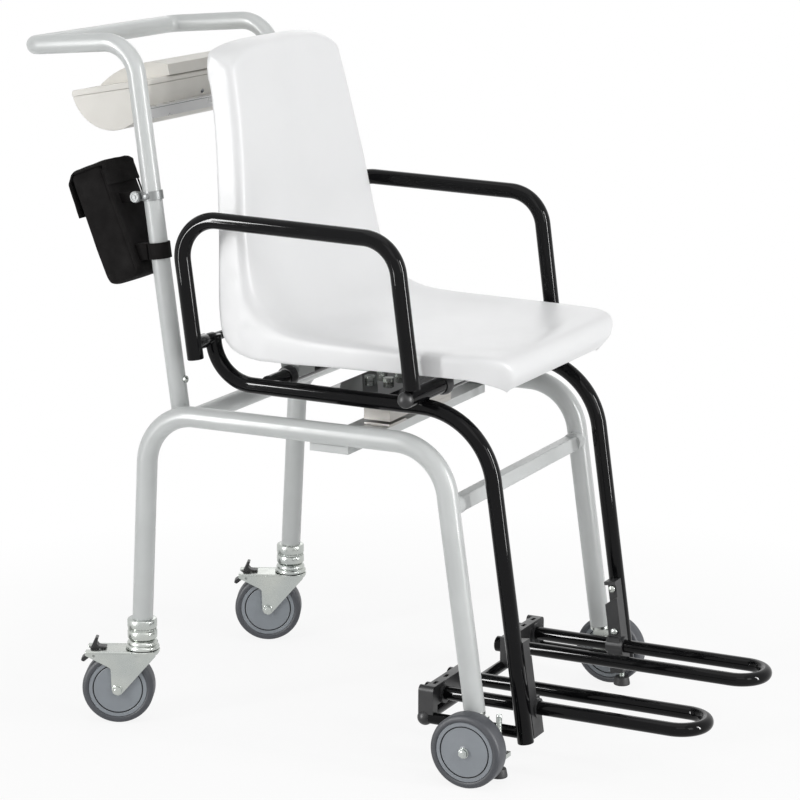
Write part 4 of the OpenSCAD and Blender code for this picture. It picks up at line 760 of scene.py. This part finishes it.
thread = Part()
stud_at = place(-FRAME_X, STUD_Y, 0) @ ALONG_Z
profile = [(14.0, 3.9)]
z = THREAD_FROM
while z < THREAD_TO:
    profile += [(z, 3.95), (z + 0.6, 3.45)]
    z += PITCH
profile += [(91.5, 3.95), (93.2, 3.5), (94.0, 2.6)]
thread.turned(profile, stud_at, 32)
thread.turned([(41.3, 4.0), (41.3, 7.2), (46.7, 7.2), (46.7, 4.0)], stud_at, 6)
sided(thread, "stud", "stabiliser_{}", "zinc", nodes=["stud"])
rubber = Part().turned([(8.0, 1.0), (8.0, 11.0), (8.5, 11.8), (9.6, 12.0), (11.0, 11.8),
                        (18.6, 10.3), (19.6, 9.7), (20.0, 8.6), (20.0, 4.2), (14.1, 4.2)],
                       stud_at, 64)
sided(rubber, "foot", "stabiliser_{}", "foot_rubber", nodes=["foot"])

# Fasteners

CLAMP_Z, KNOB_R, KNOB_RIBS = 738, 7.3, 16
HEAD = turn_x(-10.2, (0, 377, 881))
screws = Part().node("fasteners", 0.5)
clamp = turn_x(-HANDLE_LEAN, (-HANDLE_X, upright_y(CLAMP_Z), CLAMP_Z))
# The thumb nut's ribs and middle, and the small screw on the clamp's side
knob_at = clamp @ place(-10, HANDLE_D / 2 + 10, 0)
for k in range(KNOB_RIBS):
    a = math.tau * k / KNOB_RIBS
    screws.tube([(x, KNOB_R * math.cos(a), KNOB_R * math.sin(a)) for x in (0.8, 6.2)],
                1.5, 0.5, 10, knob_at)
screws.turned([(-0.8, 0.5), (-0.8, 2.2), (-0.3, 2.8), (0.4, 2.8)], knob_at, 32)
screws.turned([(-0.5, 4.6), (-0.9, 5.0), (-0.9, 6.0), (-0.4, 6.6), (0.4, 6.6)], knob_at, 48,
              closed=True)
side_at = clamp @ place(-HANDLE_D / 2 - 2.2, 1.5, 0)
screws.turned([(-3.0, 0.6), (-3.0, 2.4), (-2.6, 3.6), (-1.6, 4.4), (0.2, 4.5), (1.0, 4.5)],
              side_at, 40)
# The clamp's fasteners are duller than the others, and the bolts over the load cell are dark
DULL, DARK = 1, 2
for i, face in enumerate(screws.faces):
    middle = sum((screws.points[k] for k in face), Vector()) / len(face)
    if min((middle - m @ Vector()).length for m in (knob_at, side_at)) < 12:
        screws.marks[i] = DULL
    if abs(middle.x) < 40 and 380 < middle.z < 520:
        screws.marks[i] = DARK
# A small screw on the head's front
screws.turned([(60.5, 3.0), (62.6, 3.0), (63.6, 2.6), (64.2, 1.6), (64.3, 0.6)],
              HEAD @ place(-22, 0, 0) @ turn_x(-151.5) @ ALONG_Y, 32, mark=DARK)
screws.done("fasteners.look", "frame", "zinc", ["fasteners"], weighted=True,
            marks=(MATS["clamp_grey"], MATS["dark_chrome"]))

# Display head

BAR_Z, BAR_H, BAR_D, BAR_HALF = 847, 16, 12, 178
HEAD_R, HEAD_HALF, TRAY_FROM, ARC_STEPS = 62, 169, 7.6, 44
silver = Part().node("display_bar", 0.8)
# A painted highlight along the bar's top edge: a thin near-white metal bead, and under it a dark
# grey strip that paints the shade below that bead
bar_face, bar_top = upright_y(BAR_Z) - BAR_D / 2, BAR_Z + BAR_H / 2
silver.box((-BAR_HALF, bar_face - 0.8, bar_top - 1.6), (BAR_HALF, bar_face + 1, bar_top),
           0.5, 2, mark=1)
silver.box((-BAR_HALF, bar_face - 0.3, bar_top - 2.5), (BAR_HALF, bar_face + 1, bar_top - 1.6),
           0, mark=2)
silver.done("display_bar.look", "frame", "bar_silver", ["display_bar"], weighted=True,
            marks=(MATS["painted_highlight_trim"], MATS["clamp_grey"]))
arc = [(HEAD_R * math.cos(math.radians(a)), HEAD_R * math.sin(math.radians(a)))
       for a in [180 + TRAY_FROM + k * ((180 - 2 * TRAY_FROM) / ARC_STEPS)
                 for k in range(ARC_STEPS + 1)]]
tray = Part().slab(arc, -HEAD_HALF, HEAD_HALF, 1.0, 3, HEAD @ UPRIGHT)
tray.done("display_tray.look", "frame", "head_plastic", ["display_tray"], weighted=True)
lid = rounded_loop([(-HEAD_R, -7.9), (HEAD_R, -7.9), (HEAD_R, 0), (-HEAD_R, 0)],
                   [0.3, 0.3, 4.5, 4.5], 15)
Part().slab(lid, -HEAD_HALF, HEAD_HALF, 0.9, 3, HEAD @ UPRIGHT).done(
    "display_cover.look", "frame", "head_plastic", ["display_cover"], weighted=True)
copied("display_hood", "head_plastic", 1.6, 3)
copied("display_window", "window", 0.4)
for name in ("left", "middle", "right"):
    copied(f"key_{name}", "key_rubber", 0.7, 3, f"key_{name}_body")
copied("circuit_board", "board", 0.2, 1, weighted=False)
copied("battery_pack", "battery", 0.5)

# Pouch

POUCH = turn_x(-21, (-172, 361, 694.5))
POUCH_HALF_W, POUCH_HALF_D, BAG_SEGS = 40, 27.2, 96


def bag_ring(z, hx, hy, power):
    """A rounded rectangle of half sizes hx and hy; a higher power has sharper corners."""
    out = []
    for k in range(BAG_SEGS):
        a = math.tau * k / BAG_SEGS
        c, s = math.cos(a), math.sin(a)
        out.append(Vector((math.copysign(abs(c) ** (2 / power), c) * hx,
                           math.copysign(abs(s) ** (2 / power), s) * hy, z)))
    return out


def bag():
    """A sewn box with softly bulged faces, a few folds and a round belly below."""
    rows = [(-80, 24, 12, 3.0), (-79.3, 32.5, 19.5, 4.0), (-76, 38.0, 24.6, 6.0),
            (-70, 39.6, 26.6, 8.0), (-55, 40.0, 27.2, 10.0), (-20, 39.8, 27.0, 12.0),
            (10, 39.4, 26.6, 12.0), (45, 39.2, 26.2, 12.0), (70, 39.2, 26.2, 12.0),
            (77, 38.6, 25.8, 9.0), (79.4, 36.6, 24.0, 6.0), (79.8, 30, 18, 4.0)]
    rings = []
    steps = 6
    for i in range((len(rows) - 1) * steps + 1):
        z, hx, hy, power = through(rows, i / steps)
        ring = bag_ring(z, hx, hy, power)
        fade = max(0.0, min(1.0, (80 - abs(z)) / 14))
        for p in ring:
            across, deep = abs(p.x) / POUCH_HALF_W, abs(p.y) / POUCH_HALF_D
            flat = 1 - max(across, deep) * 0.35 - min(across, deep) * 0.45
            way = Vector((math.copysign(1, p.x), 0, 0)) if across > deep else \
                Vector((0, math.copysign(1, p.y), 0))
            fold = noise.noise(Vector((p.x * 0.020, p.y * 0.04 + 2, p.z * 0.035 + 3)))
            fine = noise.noise(Vector((p.x * 0.05, p.y * 0.08 + 7, p.z * 0.09)))
            p += way * (fold * 5.0 + fine * 1.6 - 0.4) * fade * max(0.0, flat)
        rings.append(ring)
    return Part().skin(rings)


def slack(part):
    """The pouch leans back above its strap and its top corners droop."""
    for p in part.points:
        rise = max(0.0, min(1.0, (p.z + 60) / 120))
        droop = max(0.0, min(1.0, (p.z - 45) / 30)) * max(0.0, abs(p.x) - 27) ** 2 * 0.024
        p.y += 2.0 * rise
        p.z += 3.0 * rise ** 2 - droop
    return part


sack = bag()
# Piping sewn along the front's upright edges, which draw in at the belly
for x, y in ((-39.2, -26.2), (39.2, -26.2)):
    edge = [(x * (1 - max(0, -z - 64) * 0.012), y * (1 - max(0, -z - 64) * 0.018), z)
            for z in range(-74, 77, 6)]
    sack.tube(edge, 2.6, 0.8, 12)
slack(sack).moved(POUCH).done("pouch.look", "frame", "pouch_cloth", ["pouch"], smooth=70, sub=1)


def ribbon(line, half_width, thick, wave=0.5, across=13):
    """A band of cloth along a line in the pouch's YZ plane."""
    rings = []
    for i, p in enumerate(line):
        a, b = line[max(i - 1, 0)], line[min(i + 1, len(line) - 1)]
        way = Vector((b[0] - a[0], b[1] - a[1])).normalized()
        normal = Vector((-way.y, way.x))
        over, under = [], []
        for j in range(across + 1):
            x = -half_width + 2 * half_width * j / across
            lift = wave * noise.noise(Vector((x * 0.05, i * 0.22, 2.0)))
            q = Vector(p) + normal * lift
            over.append(Vector((x, *(q + normal * thick / 2))))
            under.append(Vector((x, *(q - normal * thick / 2))))
        rings.append(over + under[::-1])
    return Part().skin(rings)


FLAP_STEP = 4
top_line = rounded([(-27.8, 74, 0), (-28.0, 81.6, 0), (22.0, 82.0, 0), (31.2, 71, 0),
                    (33.2, 20.6, 0)], [3, 6, 8], 15)
line = []
for a, b in zip(top_line, top_line[1:]):
    count = max(1, int((b - a).length / FLAP_STEP))
    line += [tuple((a + (b - a) * k / count).xy) for k in range(count)]
line.append(tuple(top_line[-1].xy))
flap = slack(ribbon(line, POUCH_HALF_W, 1.8, 0.8)).moved(POUCH).done(
    "pouch_flap.look", "flap", "pouch_cloth", ["pouch_flap"], smooth=70)
sewn = ribbon([(-28.0, 80 - k * 2.4) for k in range(14)], POUCH_HALF_W, 1.6, 0.5)
slack(sewn).moved(POUCH).done("pouch_seam.look", "frame", "pouch_cloth")
copied("pouch_strap", "pouch_cloth", 0.6)
copied("pouch_clamp", "clamp_grey", 0.5)
# The clamp's tongue sits in a loop of webbing
Part().box((-4.1, HANDLE_D / 2 + 19, -7.2), (1.1, HANDLE_D / 2 + 42, 7.2), 1.0, 3, clamp).done(
    "pouch_loop.look", "frame", "pouch_cloth")

# Camera, lights, floor

# Solved from the photograph: place in metres, turns in degrees, lens and sensor in millimetres
CAMERA_AT = (-3.394161, -1.684094, 1.309900)
LENS, SENSOR = 126.487, 36.0
scene = bpy.context.scene
yaw, pitch, roll = (math.radians(a) for a in (-63.342368, 12.811102, 0.09957))
back = Vector((math.sin(yaw) * math.cos(pitch), -math.cos(yaw) * math.cos(pitch),
               math.sin(pitch)))
right = (-back).cross(Vector((0, 0, 1))).normalized()
up = right.cross(-back)
right, up = (right * math.cos(roll) + up * math.sin(roll),
             up * math.cos(roll) - right * math.sin(roll))
camera = bpy.data.objects.new("camera", bpy.data.cameras.new("camera"))
camera.data.lens, camera.data.sensor_width = LENS, SENSOR
camera.data.clip_start, camera.data.clip_end = 0.1, 40.0
camera.matrix_world = Matrix([(*row, at) for *row, at in zip(right, up, back, CAMERA_AT)]
                             + [(0, 0, 0, 1)])
scene.collection.objects.link(camera)
scene.camera = camera


def lamp(name, place_at, target, size, watts, size_y=None):
    """A flat lamp that points at its target; size_y makes it a rectangle."""
    data = bpy.data.lights.new(name, "AREA")
    data.energy, data.size = watts, size
    if size_y:
        data.shape, data.size_y = "RECTANGLE", size_y
    obj = bpy.data.objects.new(name, data)
    obj.location = place_at
    way = Vector(target) - Vector(place_at)
    obj.rotation_mode = "QUATERNION"
    obj.rotation_quaternion = way.to_track_quat("-Z", "Y")
    scene.collection.objects.link(obj)
    return obj


lamp("overhead", (-0.3, -0.1, 3.0), (0, 0, 0.4), 2.2, 13)
lamp("left strip", (-2.55, 1.65, 1.25), (0, 0.1, 0.55), 0.26, 26, 1.9)
lamp("right strip", (0.05, -3.1, 1.25), (0, 0, 0.55), 0.26, 34, 1.9)
lamp("high front", (-2.3, -1.5, 2.7), (0, 0.2, 0.7), 1.6, 9)
lamp("front side", (-1.45, -2.9, 1.7), (-0.1, 0.3, 0.75), 0.8, 15, 1.4)
lamp("fill", (2.8, 1.2, 1.8), (0, 0, 0.5), 1.4, 8, 2.0)
# Narrow strips that only show as the gleam on the tubes
for place_at in ((-2.5, 1.62, 1.0), (0.05, -3.0, 1.0)):
    gleam = lamp("gleam", place_at, (0, 0.05, 0.5), 0.20, 80, 2.3)
    gleam.visible_diffuse = False


def seen(tree):
    """1 for rays of the camera and for those that metal and glass send back."""
    path = tree.nodes.new("ShaderNodeLightPath")
    total = path.outputs["Is Camera Ray"]
    for name in ("Is Glossy Ray", "Is Transmission Ray"):
        both = tree.nodes.new("ShaderNodeMath")
        both.operation = "MAXIMUM"
        tree.links.new(total, both.inputs[0])
        tree.links.new(path.outputs[name], both.inputs[1])
        total = both.outputs["Value"]
    return total


world = bpy.data.worlds.new("studio")
scene.world = world
world.use_nodes = True
tree = world.node_tree
tree.nodes.clear()
soft, bright = (tree.nodes.new("ShaderNodeBackground") for _ in range(2))
for node, strength in ((soft, 0.34), (bright, 1.0)):
    node.inputs["Color"].default_value = (1, 1, 1, 1)
    node.inputs["Strength"].default_value = strength
mix = tree.nodes.new("ShaderNodeMixShader")
output = tree.nodes.new("ShaderNodeOutputWorld")
tree.links.new(seen(tree), mix.inputs["Fac"])
tree.links.new(soft.outputs["Background"], mix.inputs[1])
tree.links.new(bright.outputs["Background"], mix.inputs[2])
tree.links.new(mix.outputs["Shader"], output.inputs["Surface"])


def floor_finish():
    """Pale paint that keeps the shadows near the chair and is plain white far from it."""
    mat = finish("floor", (0.95, 0.95, 0.95), 0.8, other=(0.94, 0.94, 0.94), relief=0.02,
                 specular=0.1)
    tree = mat.node_tree
    coords = tree.nodes.new("ShaderNodeTexCoord")
    far = tree.nodes.new("ShaderNodeVectorMath")
    far.operation = "LENGTH"
    tree.links.new(coords.outputs["Object"], far.inputs[0])
    share = ranged(tree, far.outputs["Value"], 0.88, 1.0, 0.6, 1.1)
    both = tree.nodes.new("ShaderNodeMath")
    both.operation = "MULTIPLY"
    tree.links.new(share, both.inputs[0])
    tree.links.new(seen(tree), both.inputs[1])
    white = tree.nodes.new("ShaderNodeEmission")
    mix = tree.nodes.new("ShaderNodeMixShader")
    output = tree.nodes["Material Output"]
    tree.links.new(both.outputs["Value"], mix.inputs["Fac"])
    tree.links.new(tree.nodes["Principled BSDF"].outputs["BSDF"], mix.inputs[1])
    tree.links.new(white.outputs["Emission"], mix.inputs[2])
    tree.links.new(mix.outputs["Shader"], output.inputs["Surface"])
    return mat


FLOOR_HALF = 30
floor_mesh = bpy.data.meshes.new("floor")
floor_mesh.from_pydata([(x * FLOOR_HALF, y * FLOOR_HALF, 0)
                        for x, y in ((-1, -1), (1, -1), (1, 1), (-1, 1))], [], [(0, 1, 2, 3)])
floor = bpy.data.objects.new("floor", floor_mesh)
scene.collection.objects.link(floor)
floor_mesh.materials.append(floor_finish())
scene.view_settings.view_transform = "Standard"
